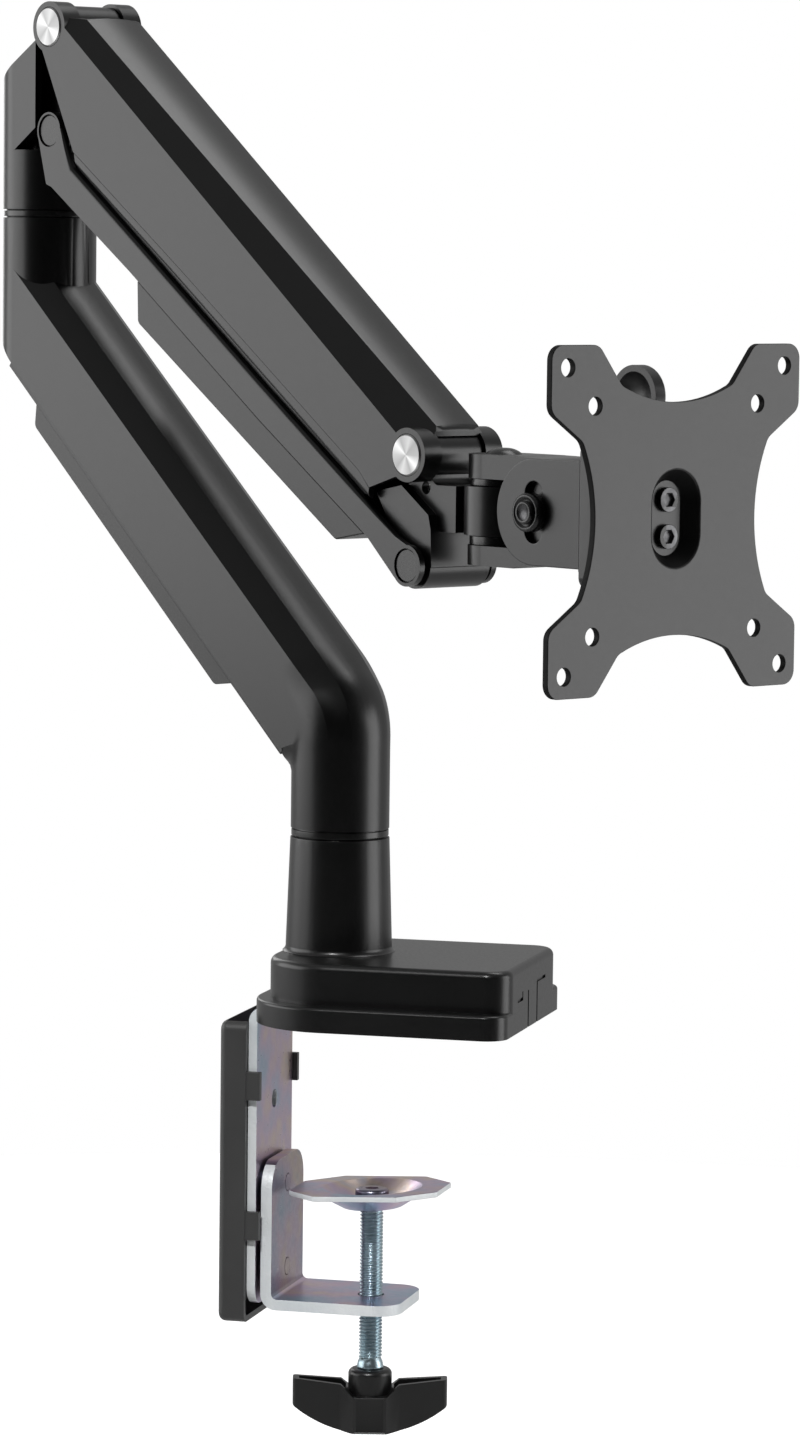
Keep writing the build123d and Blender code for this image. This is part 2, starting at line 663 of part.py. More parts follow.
with BuildPart() as spring_anchor_pin:
    with BuildSketch(SIDE):
        with Locations((PIN_X, PIN_Z - ANCHOR_DROP)):
            Circle(2.5)
    extrude(amount=9.8, both=True)
spring_anchor_pin.part.label = "spring_anchor_pin"
export_step(spring_anchor_pin.part, "parts/spring_anchor_pin.step")

# Upper arm: loaf-shaped casting, bevels that widen to the front, hollow below, four pivot bosses.
with BuildPart() as upper_arm_casting:
    with BuildSketch(ARM) as loaf:
        with BuildLine():
            Polyline(
                (0.9, -8.6), (39.4, -27.8), (115, -24.1), (233.7, -19.8), (241.7, -21.1), (250.6, -8.8),
                (252.6, 4), (250, 10.2), (248.4, 11), (10.6, 11), (4.4, 7.4), (-2, 4), close=True,
            )
        make_face()
    extrude(amount=ARM_W, both=True)
    for side in (1, -1):
        with BuildSketch(arm_cross(-6)):
            with BuildLine():
                Polyline((side * 12.4, 11), (side * 12.4, 14), (side * 21, 14), (side * 21, 2.4), close=True)
            make_face()
        with BuildSketch(arm_cross(256)):
            with BuildLine():
                Polyline((side * 9.6, 11), (side * 9.6, 14), (side * 21, 14), (side * 21, -0.4), close=True)
            make_face()
        loft(mode=Mode.SUBTRACT)
    with BuildSketch(arm_cross(-20)):
        with BuildLine():
            Polyline(
                (-FRAME_W, -60), (FRAME_W, -60), (FRAME_W, 0.4), (8.2, 8.3), (-8.2, 8.3), (-FRAME_W, 0.4),
                close=True,
            )
        make_face()
    extrude(amount=300, mode=Mode.SUBTRACT)
    with BuildSketch(ARM):
        with Locations((0, 0), (PIN_REACH, 0)):
            Circle(8.6)
    extrude(amount=10.3, both=True, mode=Mode.SUBTRACT)
    with BuildSketch(ARM.offset(10.3), ARM.offset(-ARM_W)):
        with Locations((0, 0), (PIN_REACH, 0)):
            Circle(9.35)
    extrude(amount=ARM_W - 10.3)
    with BuildSketch(ARM):
        with Locations((0, 0), (PIN_REACH, 0)):
            Circle(HOLE_R)
    extrude(amount=30, both=True, mode=Mode.SUBTRACT)
    with BuildSketch(ARM.offset(17), ARM.offset(-20)):
        with Locations((0, 0), (PIN_REACH, 0)):
            Circle(7.4)
    extrude(amount=3, mode=Mode.SUBTRACT)
upper_arm_casting.part.label = "upper_arm_casting"
export_step(upper_arm_casting.part, "parts/upper_arm_casting.step")

# Inner frame: two thin walls, the strips that show below the casting, and the web above the spring.
with BuildPart() as upper_arm_frame:
    with BuildSketch(ARM.offset(FRAME_W - 0.9), ARM.offset(-FRAME_W)):
        with BuildLine():
            Polyline(
                (24, 0.2), (24, -9), (41.5, -33.2), (44, -35.6), (107, -33.6), (171, -31.6), (236, -29.2),
                (240.5, -25.2), (240.5, -14), (225, 0.2), close=True,
            )
        make_face()
    extrude(amount=0.9)
    with BuildSketch(ARM.offset(FRAME_W), ARM.offset(-STRIP_W)):
        with BuildLine():
            Polyline(
                (39.6, -28.1), (115, -24.4), (233.6, -20.1), (241.6, -21.5), (243.4, -24.6), (171, -26.6),
                (110, -28.7), (43.4, -31.6), close=True,
            )
        make_face()
    extrude(amount=STRIP_W - FRAME_W)
    with BuildSketch(ARM):
        with BuildLine():
            Polyline((50, 0.2), (50, -1.4), (212, -1.4), (212, 0.2), close=True)
        make_face()
    extrude(amount=FRAME_W, both=True)
upper_arm_frame.part.label = "upper_arm_frame"
export_step(upper_arm_frame.part, "parts/upper_arm_frame.step")

with BuildPart() as rear_cap_near:
    with BuildSketch(ARM.offset(17)):
        Circle(7.2)
    extrude(amount=1.7)
    chamfer(rear_cap_near.faces().sort_by(Axis.Y)[0].edges(), 0.5)
rear_cap_near.part.label = "rear_cap_near"
export_step(rear_cap_near.part, "parts/rear_cap_near.step")

with BuildPart() as rear_cap_far:
    with BuildSketch(ARM.offset(-17)):
        Circle(7.2)
    extrude(amount=-1.7)
    chamfer(rear_cap_far.faces().sort_by(Axis.Y)[-1].edges(), 0.5)
rear_cap_far.part.label = "rear_cap_far"
export_step(rear_cap_far.part, "parts/rear_cap_far.step")

with BuildPart() as front_cap_near:
    with BuildSketch(ARM.offset(17)):
        with Locations((PIN_REACH, 0)):
            Circle(7.2)
    extrude(amount=1.7)
    chamfer(front_cap_near.faces().sort_by(Axis.Y)[0].edges(), 0.5)
front_cap_near.part.label = "front_cap_near"
export_step(front_cap_near.part, "parts/front_cap_near.step")

with BuildPart() as front_cap_far:
    with BuildSketch(ARM.offset(-17)):
        with Locations((PIN_REACH, 0)):
            Circle(7.2)
    extrude(amount=-1.7)
    chamfer(front_cap_far.faces().sort_by(Axis.Y)[-1].edges(), 0.5)
front_cap_far.part.label = "front_cap_far"
export_step(front_cap_far.part, "parts/front_cap_far.step")

# Gas spring inside the arm: cylinder, seat at its front end, sliding rod with a cross-slotted end.
with BuildPart() as gas_spring_cylinder:
    with BuildSketch(arm_cross(50)):
        with Locations((0, SPRING_T)):
            Circle(8)
    extrude(amount=150)
    with BuildSketch(arm_cross(54)):
        with Locations((0, SPRING_T)):
            Circle(6.6)
    extrude(amount=140, mode=Mode.SUBTRACT)
    with BuildSketch(arm_cross(48)):
        with Locations((0, SPRING_T)):
            Circle(3.8)
    extrude(amount=10, mode=Mode.SUBTRACT)
gas_spring_cylinder.part.label = "gas_spring_cylinder"
export_step(gas_spring_cylinder.part, "parts/gas_spring_cylinder.step")

with BuildPart() as spring_mount_block:
    with BuildSketch(arm_cross(200)):
        with Locations((0, SPRING_T + 0.6)):
            Rectangle(28.6, 15)
    extrude(amount=14)
    with BuildSketch(arm_cross(203)):
        with Locations((0, SPRING_T)):
            Circle(3.3)
    extrude(amount=14, mode=Mode.SUBTRACT)
spring_mount_block.part.label = "spring_mount_block"
export_step(spring_mount_block.part, "parts/spring_mount_block.step")

with BuildPart() as tension_screw:
    with BuildSketch(arm_cross(204)):
        with Locations((0, SPRING_T)):
            Circle(3)
    extrude(amount=11)
    with BuildSketch(arm_cross(214.3)):
        with Locations((0, SPRING_T)):
            Circle(5)
    extrude(amount=5)
    with BuildSketch(arm_cross(216)):
        with Locations((0, SPRING_T)):
            RegularPolygon(radius=2.9, side_count=6)
    extrude(amount=5, mode=Mode.SUBTRACT)
tension_screw.part.label = "tension_screw"
export_step(tension_screw.part, "parts/tension_screw.step")

ANCHOR_S = 0.6 * ANCHOR_DROP
with BuildPart() as gas_spring_rod:
    with BuildSketch(arm_cross(ANCHOR_S + 4)):
        with Locations((0, SPRING_T)):
            Circle(3.5)
    extrude(amount=72)
    with BuildSketch(arm_cross(ANCHOR_S + 72)):
        with Locations((0, SPRING_T)):
            Circle(6.2)
    extrude(amount=6)
    with BuildSketch(ARM):
        with Locations((ANCHOR_S, SPRING_T)):
            RectangleRounded(11.6, 16.4, 4)
    extrude(amount=3.6, both=True)
    with BuildSketch(ARM):
        with Locations((ANCHOR_S, SPRING_T)):
            SlotOverall(10.8, 6.4, rotation=90)
    extrude(amount=5, both=True, mode=Mode.SUBTRACT)
gas_spring_rod.part.label = "gas_spring_rod"
export_step(gas_spring_rod.part, "parts/gas_spring_rod.step")

# Lower link: channel with a rear ear up to its pin and a round front boss.
with BuildPart() as lower_link:
    with BuildSketch(ARM.offset(LINK_IN), ARM.offset(-LINK_W)):
        with BuildLine():
            Polyline(
                (LINK_S - 3, LINK_T - 6.1), (33.5, -46.9), (36.5, -45.9), (92, -42.6), (181, -39.6),
                (251, -35.4), (LINK_S + 248, LINK_T - 7), (LINK_S + 251, LINK_T + 7), (262, -26.1),
                (225, -26.9), (174, -29.2), (106, -31.3), (41.8, -33.2), (LINK_S + 4.4, LINK_T + 5),
                close=True,
            )
        make_face()
        with Locations((LINK_S, LINK_T)):
            Circle(6.8)
        with Locations((LINK_S + PIN_REACH, LINK_T)):
            Circle(7.2)
    extrude(amount=LINK_W - LINK_IN)
    with BuildSketch(ARM):
        with BuildLine():
            Polyline(
                (44, -45.45), (92, -42.6), (181, -39.6), (248, -35.58), (248, -33.5), (181, -37.6),
                (92, -40.6), (44, -43.4), close=True,
            )
        make_face()
    extrude(amount=LINK_W - 0.5, both=True)
    with BuildSketch(ARM.offset(10.4), ARM.offset(-LINK_IN)):
        with Locations((LINK_S, LINK_T)):
            Circle(6.8)
    extrude(amount=LINK_IN - 10.4)
    with BuildSketch(ARM):
        with Locations((LINK_S, LINK_T), (LINK_S + PIN_REACH, LINK_T)):
            Circle(HOLE_R)
    extrude(amount=30, both=True, mode=Mode.SUBTRACT)
    with BuildSketch(ARM.offset(16.4), ARM.offset(-20.4)):
        with Locations((LINK_S, LINK_T), (LINK_S + PIN_REACH, LINK_T)):
            Circle(6)
    extrude(amount=4, mode=Mode.SUBTRACT)
lower_link.part.label = "lower_link"
export_step(lower_link.part, "parts/lower_link.step")

with BuildPart() as link_cable_cover:
    with BuildSketch(ARM) as tray:
        with BuildLine():
            Polyline(
                (97, -42.65), (181, -39.9), (249.2, -35.85), (238.6, -47.2), (106.6, -54.6), close=True,
            )
        make_face()
        fillet(tray.vertices().sort_by_distance((238.6, -47.2))[0], 2)
        fillet(tray.vertices().sort_by_distance((106.6, -54.6))[0], 2.5)
    extrude(amount=17.8, both=True)
    with BuildSketch(ARM):
        with BuildLine():
            Polyline((100, -41), (245.6, -34), (237.6, -45.5), (108, -52.8), close=True)
        make_face()
    extrude(amount=16, both=True, mode=Mode.SUBTRACT)
link_cable_cover.part.label = "link_cable_cover"
export_step(link_cable_cover.part, "parts/link_cable_cover.step")

# Head knuckle: both front barrels, flanks between the link walls, neck and upright pan barrel.
with BuildPart() as head_knuckle:
    with BuildSketch(SIDE) as tongue:
        with Locations((HEAD_X, HEAD_Z)):
            Circle(8)
        with Locations((HEAD_X, HEAD_Z - PIN_DROP)):
            Circle(8.1)
        with BuildLine():
            Polyline(
                (HEAD_X - 7.8, 201.8), (HEAD_X - 7.8, 163.8), (HEAD_X + 4.2, 163.8), (HEAD_X + 4.2, 175.6),
                (69.6, 175.6), (69.6, 191.6), (HEAD_X + 4.2, 191.6), (HEAD_X + 4.2, 201.8), close=True,
            )
        make_face()
        for point in ((HEAD_X + 4.2, 175.6), (HEAD_X + 4.2, 191.6)):
            fillet(tongue.vertices().sort_by_distance(point)[0], 3)
    extrude(amount=TONGUE_W, both=True)
    with BuildSketch(SIDE):
        with BuildLine():
            Polyline(
                (33, 188.5), (45.9, 191.1), (59.9, 181.4), (61.2, 176.5), (61.75, 163.5),
                (HEAD_X, 158), (46.4, 167), close=True,
            )
        make_face()
        with Locations((HEAD_X, HEAD_Z - PIN_DROP)):
            Circle(8.1)
    extrude(amount=FLANK_W, both=True)
    with BuildSketch(Plane.XY.offset(176.6)):
        with Locations((70, 0)):
            Rectangle(16, 13)
    extrude(amount=14.4)
    with BuildSketch(Plane.XY.offset(175.4)):
        with Locations((PAN_X, 0)):
            Circle(13.4)
    extrude(amount=16.7)
    with BuildSketch(Plane.XY.offset(170)):
        with Locations((PAN_X, 0)):
            Circle(HOLE_R)
    extrude(amount=30, mode=Mode.SUBTRACT)
    with BuildSketch(SIDE):
        with Locations((HEAD_X, HEAD_Z), (HEAD_X, HEAD_Z - PIN_DROP)):
            Circle(PIN_R)
    extrude(amount=30, both=True, mode=Mode.SUBTRACT)
    with BuildSketch(SIDE.offset(5)):
        with Locations((54.4, 190.4)):
            Circle(2.2)
    extrude(amount=10, mode=Mode.SUBTRACT)
head_knuckle.part.label = "head_knuckle"
export_step(head_knuckle.part, "parts/head_knuckle.step")

with BuildPart() as front_upper_pin:
    with BuildSketch(SIDE):
        with Locations((HEAD_X, HEAD_Z)):
            Circle(PIN_R)
    extrude(amount=16.6, both=True)
front_upper_pin.part.label = "front_upper_pin"
export_step(front_upper_pin.part, "parts/front_upper_pin.step")

with BuildPart() as front_lower_pin:
    with BuildSketch(SIDE):
        with Locations((HEAD_X, HEAD_Z - PIN_DROP)):
            Circle(PIN_R)
    extrude(amount=17.2, both=True)
    with BuildSketch(SIDE.offset(16.7), SIDE.offset(-17.4)):
        with Locations((HEAD_X, HEAD_Z - PIN_DROP)):
            Circle(5.4)
    extrude(amount=0.7)
front_lower_pin.part.label = "front_lower_pin"
export_step(front_lower_pin.part, "parts/front_lower_pin.step")

with BuildPart() as knuckle_set_screw:
    with BuildSketch(SIDE.offset(5)):
        with Locations((54.4, 190.4)):
            Circle(2.15)
            RegularPolygon(radius=1.1, side_count=6, mode=Mode.SUBTRACT)
    extrude(amount=3.2)
knuckle_set_screw.part.label = "knuckle_set_screw"
export_step(knuckle_set_screw.part, "parts/knuckle_set_screw.step")

# Pan fork: two ears on the pan axis and the tilt block with a round front.
with BuildPart() as pan_fork:
    with BuildSketch(Plane.XY.offset(194.8)):
        with Locations((PAN_X, 0)):
            Circle(12)
        with Locations((PAN_X + 9, 0)):
            Rectangle(18, 23.6)
    extrude(amount=8.2)
    with BuildSketch(Plane.XY.offset(165.2)):
        with Locations((PAN_X, 0)):
            Circle(12)
        with Locations((PAN_X + 9, 0)):
            Rectangle(18, 23.6)
    extrude(amount=6.8)
    with BuildSketch(SIDE):
        with Locations((TILT_X, TILT_Z)):
            Circle(18)
        with BuildLine():
            Polyline((97.6, 165.2), (TILT_X, TILT_Z - 18), (TILT_X, TILT_Z + 18), (97.6, 203), close=True)
        make_face()
    extrude(amount=11.8, both=True)
    with BuildSketch(Plane.XY.offset(172)):
        with Locations((PAN_X, 0)):
            Circle(14.2)
    extrude(amount=22.8, mode=Mode.SUBTRACT)
    with BuildSketch(Plane.XY.offset(160)):
        with Locations((PAN_X, 0)):
            Circle(PIN_R + 0.05)
    extrude(amount=50, mode=Mode.SUBTRACT)
    with BuildSketch(Plane.XY.offset(160)):
        with Locations((PAN_X, 0)):
            RegularPolygon(radius=7.6, side_count=6)
    extrude(amount=9.6, mode=Mode.SUBTRACT)
    with BuildSketch(SIDE):
        with Locations((TILT_X, TILT_Z)):
            Circle(HOLE_R)
    extrude(amount=30, both=True, mode=Mode.SUBTRACT)
pan_fork.part.label = "pan_fork"
export_step(pan_fork.part, "parts/pan_fork.step")

with BuildPart() as pan_bolt:
    with BuildSketch(Plane(origin=(PAN_X, 0, 0), x_dir=(1, 0, 0), z_dir=(0, -1, 0))):
        with BuildLine():
            Polyline((5, 203), (PIN_R, 203), (PIN_R, 165.4), (0, 165.4), (0, 205))
            ThreePointArc((0, 205), (4, 204.5), (6.4, 203))
            Line((6.4, 203), (5, 203))
        make_face()
    revolve(axis=Axis(origin=(PAN_X, 0, 0), direction=(0, 0, 1)))
pan_bolt.part.label = "pan_bolt"
export_step(pan_bolt.part, "parts/pan_bolt.step")

with BuildPart() as pan_nut:
    with BuildSketch(Plane.XY.offset(165.4)):
        with Locations((PAN_X, 0)):
            RegularPolygon(radius=7.4, side_count=6)
            Circle(PIN_R + 0.05, mode=Mode.SUBTRACT)
    extrude(amount=4.1)
pan_nut.part.label = "pan_nut"
export_step(pan_nut.part, "parts/pan_nut.step")

with BuildPart() as pan_washer_upper:
    with BuildSketch(Plane.XY.offset(192.2)):
        with Locations((PAN_X, 0)):
            Circle(11.4)
            Circle(4.2, mode=Mode.SUBTRACT)
    extrude(amount=2.6)
pan_washer_upper.part.label = "pan_washer_upper"
export_step(pan_washer_upper.part, "parts/pan_washer_upper.step")

with BuildPart() as pan_washer_lower:
    with BuildSketch(Plane.XY.offset(172)):
        with Locations((PAN_X, 0)):
            Circle(11.4)
            Circle(4.2, mode=Mode.SUBTRACT)
    extrude(amount=3.3)
pan_washer_lower.part.label = "pan_washer_lower"
export_step(pan_washer_lower.part, "parts/pan_washer_lower.step")

# Tilt bracket: bent sheet, two slotted cheeks and a taller web.
with BuildPart() as tilt_bracket:
    with BuildSketch(SIDE.offset(12), SIDE.offset(-14.5)):
        with Locations((TILT_X, TILT_Z)):
            Circle(18)
        with Locations((TILT_X + 12, TILT_Z)):
            Rectangle(24, 36)
    extrude(amount=2.5)
    with BuildSketch(end_plane(WEB_X - 7)):
        RectangleRounded(30, 49, 4)
    extrude(amount=7)
    with BuildSketch(SIDE):
        with Locations((TILT_X, TILT_Z)):
            SlotOverall(20.8, 8.4, rotation=90)
    extrude(amount=30, both=True, mode=Mode.SUBTRACT)
    with BuildSketch(end_plane(WEB_X - 9)):
        Circle(HOLE_R)
    extrude(amount=12, mode=Mode.SUBTRACT)
tilt_bracket.part.label = "tilt_bracket"
export_step(tilt_bracket.part, "parts/tilt_bracket.step")

with BuildPart() as tilt_bolt:
    with BuildSketch(SIDE.offset(19.4)):
        with Locations((TILT_X, TILT_Z)):
            Circle(PIN_R)
    extrude(amount=-41)
tilt_bolt.part.label = "tilt_bolt"
export_step(tilt_bolt.part, "parts/tilt_bolt.step")

with BuildPart() as tilt_bush:
    with BuildSketch(SIDE.offset(14.5)):
        with Locations((TILT_X, TILT_Z)):
            Circle(6.6)
            Circle(PIN_R, mode=Mode.SUBTRACT)
    extrude(amount=4)
tilt_bush.part.label = "tilt_bush"
export_step(tilt_bush.part, "parts/tilt_bush.step")

with BuildPart() as rotation_nut:
    with BuildSketch(end_plane(132)):
        RegularPolygon(radius=7.4, side_count=6)
        Circle(PIN_R, mode=Mode.SUBTRACT)
    extrude(amount=3.4)
rotation_nut.part.label = "rotation_nut"
export_step(rotation_nut.part, "parts/rotation_nut.step")

with BuildPart() as rotation_bolt:
    with BuildSketch(end_plane(131.4)):
        Circle(PIN_R)
    extrude(amount=18)
rotation_bolt.part.label = "rotation_bolt"
export_step(rotation_bolt.part, "parts/rotation_bolt.step")

# Clamp lever on the far side: round hub and a dished paddle that leans forward.
with BuildPart() as tilt_lever:
    with BuildSketch(SIDE.offset(-14.6)):
        with Locations((TILT_X, TILT_Z)):
            Circle(9)
    extrude(amount=-9)
    with BuildSketch(SIDE.offset(-20)):
        with BuildLine():
            Polyline((106, 188), (120, 182), (134.7, 221.8), (114.9, 226.2), close=True)
        make_face()
        with Locations((124.8, 223.6)):
            Circle(10.6)
        with Locations((TILT_X, TILT_Z)):
            Circle(9)
    extrude(amount=-5.6)
    fillet(tilt_lever.faces().sort_by(Axis.Y)[-1].edges(), 1.5)
    with Locations((124.8, 6.5, 223.6)):
        Sphere(15.9, mode=Mode.SUBTRACT)
    with BuildSketch(SIDE.offset(-10)):
        with Locations((TILT_X, TILT_Z)):
            Circle(HOLE_R)
    extrude(amount=-12.2, mode=Mode.SUBTRACT)
tilt_lever.part.label = "tilt_lever"
export_step(tilt_lever.part, "parts/tilt_lever.step")

with BuildPart() as rotation_hub:
    with BuildSketch(end_plane(WEB_X + 0.1)):
        Circle(14)
    extrude(amount=PLATE_X - 7.5 - WEB_X - 0.1)
    with BuildSketch(end_plane(WEB_X - 1)):
        Circle(PIN_R)
    extrude(amount=7.9, mode=Mode.SUBTRACT)
    with BuildSketch(end_plane(150)):
        with Locations((0, 6.1), (0, -6.1)):
            Circle(2)
    extrude(amount=10, mode=Mode.SUBTRACT)
rotation_hub.part.label = "rotation_hub"
export_step(rotation_hub.part, "parts/rotation_hub.step")

# Monitor plate: pressed sheet with four arms, both hole squares and the obround recess.
with BuildPart() as vesa_plate:
    with BuildSketch(end_plane(PLATE_X - 2.5)) as sheet:
        with BuildLine():
            ThreePointArc((43, -26), (37, 0), (43, 26))
            Polyline((43, 26), (57.3, 35.5), (57.3, 57.3), (36, 57.3), (25.5, 44))
            ThreePointArc((25.5, 44), (0, 38.4), (-25.5, 44))
            Polyline((-25.5, 44), (-36, 57.3), (-57.3, 57.3), (-57.3, 35.5), (-43, 26))
            ThreePointArc((-43, 26), (-37, 0), (-43, -26))
            Polyline((-43, -26), (-57.3, -35.5), (-57.3, -57.3), (-36, -57.3), (-25.5, -44))
            ThreePointArc((-25.5, -44), (0, -38.4), (25.5, -44))
            Polyline((25.5, -44), (36, -57.3), (57.3, -57.3), (57.3, -35.5), (43, -26))
        make_face()
        fillet(sheet.vertices(), 5)
    extrude(amount=2.5)
    with BuildSketch(end_plane(PLATE_X - 2.5)):
        SlotOverall(37, 26.4, rotation=90)
    with BuildSketch(end_plane(PLATE_X - 7.5)):
        SlotOverall(28.6, 17, rotation=90)
    loft()
    with BuildSketch(end_plane(PLATE_X)):
        SlotOverall(32.8, 22.2, rotation=90)
    with BuildSketch(end_plane(PLATE_X - 5)):
        SlotOverall(25, 13.4, rotation=90)
    loft(mode=Mode.SUBTRACT)
    front_edges = vesa_plate.edges().group_by(Axis.X)[-1]
    lip = front_edges.filter_by(lambda edge: edge.distance_to((PLATE_X, 0, TILT_Z)) < 18)
    fillet(lip, 1.6)
    with BuildSketch(end_plane(150)):
        with GridLocations(100, 100, 2, 2):
            Circle(3)
        with GridLocations(75, 75, 2, 2):
            Circle(3)
        with Locations((0, 6.1), (0, -6.1)):
            Circle(2)
    extrude(amount=30, mode=Mode.SUBTRACT)
vesa_plate.part.label = "vesa_plate"
export_step(vesa_plate.part, "parts/vesa_plate.step")

with BuildPart() as plate_screw_upper:
    with BuildSketch(end_plane(PLATE_X - 5)):
        with Locations((0, 6.1)):
            Circle(4.1)
    extrude(amount=1.8)
    with BuildSketch(end_plane(PLATE_X - 4.5)):
        with Locations((0, 6.1)):
            RegularPolygon(radius=2.5, side_count=6)
    extrude(amount=2, mode=Mode.SUBTRACT)
    with BuildSketch(end_plane(150)):
        with Locations((0, 6.1)):
            Circle(1.95)
    extrude(amount=PLATE_X - 155)
plate_screw_upper.part.label = "plate_screw_upper"
export_step(plate_screw_upper.part, "parts/plate_screw_upper.step")

with BuildPart() as plate_screw_lower:
    with BuildSketch(end_plane(PLATE_X - 5)):
        with Locations((0, -6.1)):
            Circle(4.1)
    extrude(amount=1.8)
    with BuildSketch(end_plane(PLATE_X - 4.5)):
        with Locations((0, -6.1)):
            RegularPolygon(radius=2.5, side_count=6)
    extrude(amount=2, mode=Mode.SUBTRACT)
    with BuildSketch(end_plane(150)):
        with Locations((0, -6.1)):
            Circle(1.95)
    extrude(amount=PLATE_X - 155)
plate_screw_lower.part.label = "plate_screw_lower"
export_step(plate_screw_lower.part, "parts/plate_screw_lower.step")
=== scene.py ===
import json
import math

import bmesh
import bpy
from mathutils import Matrix, Vector


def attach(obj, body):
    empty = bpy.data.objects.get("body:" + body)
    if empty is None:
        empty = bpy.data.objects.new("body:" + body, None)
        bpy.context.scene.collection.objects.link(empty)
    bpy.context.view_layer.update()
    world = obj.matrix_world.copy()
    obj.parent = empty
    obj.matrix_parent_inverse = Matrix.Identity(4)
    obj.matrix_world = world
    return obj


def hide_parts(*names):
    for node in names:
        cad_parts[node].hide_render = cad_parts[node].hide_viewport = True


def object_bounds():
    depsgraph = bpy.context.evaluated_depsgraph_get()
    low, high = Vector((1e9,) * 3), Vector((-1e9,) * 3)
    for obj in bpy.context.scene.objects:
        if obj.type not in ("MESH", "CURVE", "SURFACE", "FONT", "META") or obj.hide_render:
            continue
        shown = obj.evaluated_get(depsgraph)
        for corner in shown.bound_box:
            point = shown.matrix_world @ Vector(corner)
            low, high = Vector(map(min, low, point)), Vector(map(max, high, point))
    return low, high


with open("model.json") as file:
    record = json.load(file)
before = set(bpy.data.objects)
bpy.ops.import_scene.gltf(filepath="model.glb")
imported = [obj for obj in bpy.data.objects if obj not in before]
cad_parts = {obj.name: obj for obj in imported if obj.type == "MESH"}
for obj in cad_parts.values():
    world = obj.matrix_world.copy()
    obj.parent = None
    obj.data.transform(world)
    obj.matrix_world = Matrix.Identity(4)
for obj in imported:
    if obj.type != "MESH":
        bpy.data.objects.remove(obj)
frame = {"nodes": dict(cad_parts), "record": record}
cad_low, cad_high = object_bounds()
nodes = frame["nodes"]
scene = bpy.context.scene
scene.view_settings.view_transform = "Standard"

MM = 0.001
UP = Vector((0, 0, 1))
NEAR = Vector((0, -1, 0))
SLOT = {s["node"]: s["material_slot"] for s in frame["record"]["subparts"]}
BODY = {n: b for b, ns in frame["record"]["behaviour"]["bodies"].items() for n in ns}


# Materials
NOISE_LOW, NOISE_HIGH = 0.3, 0.7  # most of a noise texture lies between these


class Tree:
    """A new material with its node tree and a few short calls to wire it."""

    def __init__(self, name):
        self.mat = bpy.data.materials.new(name)
        self.mat.use_nodes = True
        self.tree = self.mat.node_tree
        self.bsdf = self.tree.nodes["Principled BSDF"]
        self.coord = self.add("ShaderNodeTexCoord")

    def add(self, kind, **values):
        node = self.tree.nodes.new(kind)
        for key, value in values.items():
            setattr(node, key, value)
        return node

    def link(self, a, b):
        self.tree.links.new(a, b)

    def shader(self, socket, value):
        self.bsdf.inputs[socket].default_value = value

    def feed(self, output, socket):
        self.link(output, self.bsdf.inputs[socket])

    def noise(self, scale, detail=3.0, rough=0.5):
        node = self.add("ShaderNodeTexNoise")
        node.inputs["Scale"].default_value = scale
        node.inputs["Detail"].default_value = detail
        node.inputs["Roughness"].default_value = rough
        self.link(self.coord.outputs["Object"], node.inputs["Vector"])
        return node.outputs["Fac"]

    def ramp(self, fac, stops):
        node = self.add("ShaderNodeValToRGB")
        while len(node.color_ramp.elements) < len(stops):
            node.color_ramp.elements.new(0.5)
        for element, (place, colour) in zip(node.color_ramp.elements, stops):
            element.position = place
            element.color = (*colour, 1)
        self.link(fac, node.inputs["Fac"])
        return node.outputs["Color"]

    def blend(self, fac, low, high):
        return self.ramp(fac, [(NOISE_LOW, low), (NOISE_HIGH, high)])

    def spread(self, fac, middle, swing):
        node = self.add("ShaderNodeMapRange")
        node.inputs["From Min"].default_value = NOISE_LOW
        node.inputs["From Max"].default_value = NOISE_HIGH
        node.inputs["To Min"].default_value = middle - swing
        node.inputs["To Max"].default_value = middle + swing
        self.link(fac, node.inputs["Value"])
        return node.outputs["Result"]

    def bump(self, height, strength, distance):
        node = self.add("ShaderNodeBump")
        node.inputs["Strength"].default_value = strength
        node.inputs["Distance"].default_value = distance
        self.link(height, node.inputs["Height"])
        self.feed(node.outputs["Normal"], "Normal")


def coat(name, dark, light, rough, grain=2600, strength=0.03, specular=0.52):
    """Satin black finish: faint mottling, fine orange-peel grain."""
    t = Tree(name)
    t.shader("Specular IOR Level", specular)
    t.feed(t.blend(t.noise(60, 4), dark, light), "Base Color")
    t.feed(t.spread(t.noise(900, 2), rough, 0.02), "Roughness")
    t.bump(t.noise(grain, 2, 0.6), strength, 0.00008)
    return t.mat


def zinc(name, tints, rough, grain=1500, strength=0.16, depth=0.00006, metallic=1.0):
    """Zinc plate: silver with drifting blue, violet and straw tints and fine rolling grain."""
    t = Tree(name)
    t.shader("Metallic", metallic)
    t.feed(t.ramp(t.noise(34, 3, 0.55), tints), "Base Color")
    t.feed(t.spread(t.noise(420, 4, 0.65), rough, 0.07), "Roughness")
    t.bump(t.noise(grain, 3, 0.6), strength, depth)
    return t.mat


# Share of the turn round a cap, and the grey there: painted reflection wedges that stand in for
# the sheen of the turned grooves
PAINTED_SHEEN_WEDGES = [
    (0.0, 0.36), (0.1, 0.56), (0.17, 0.28), (0.3, 0.4), (0.38, 0.26), (0.5, 0.3),
    (0.6, 0.58), (0.68, 0.27), (0.8, 0.44), (0.88, 0.27), (1.0, 0.36),
]


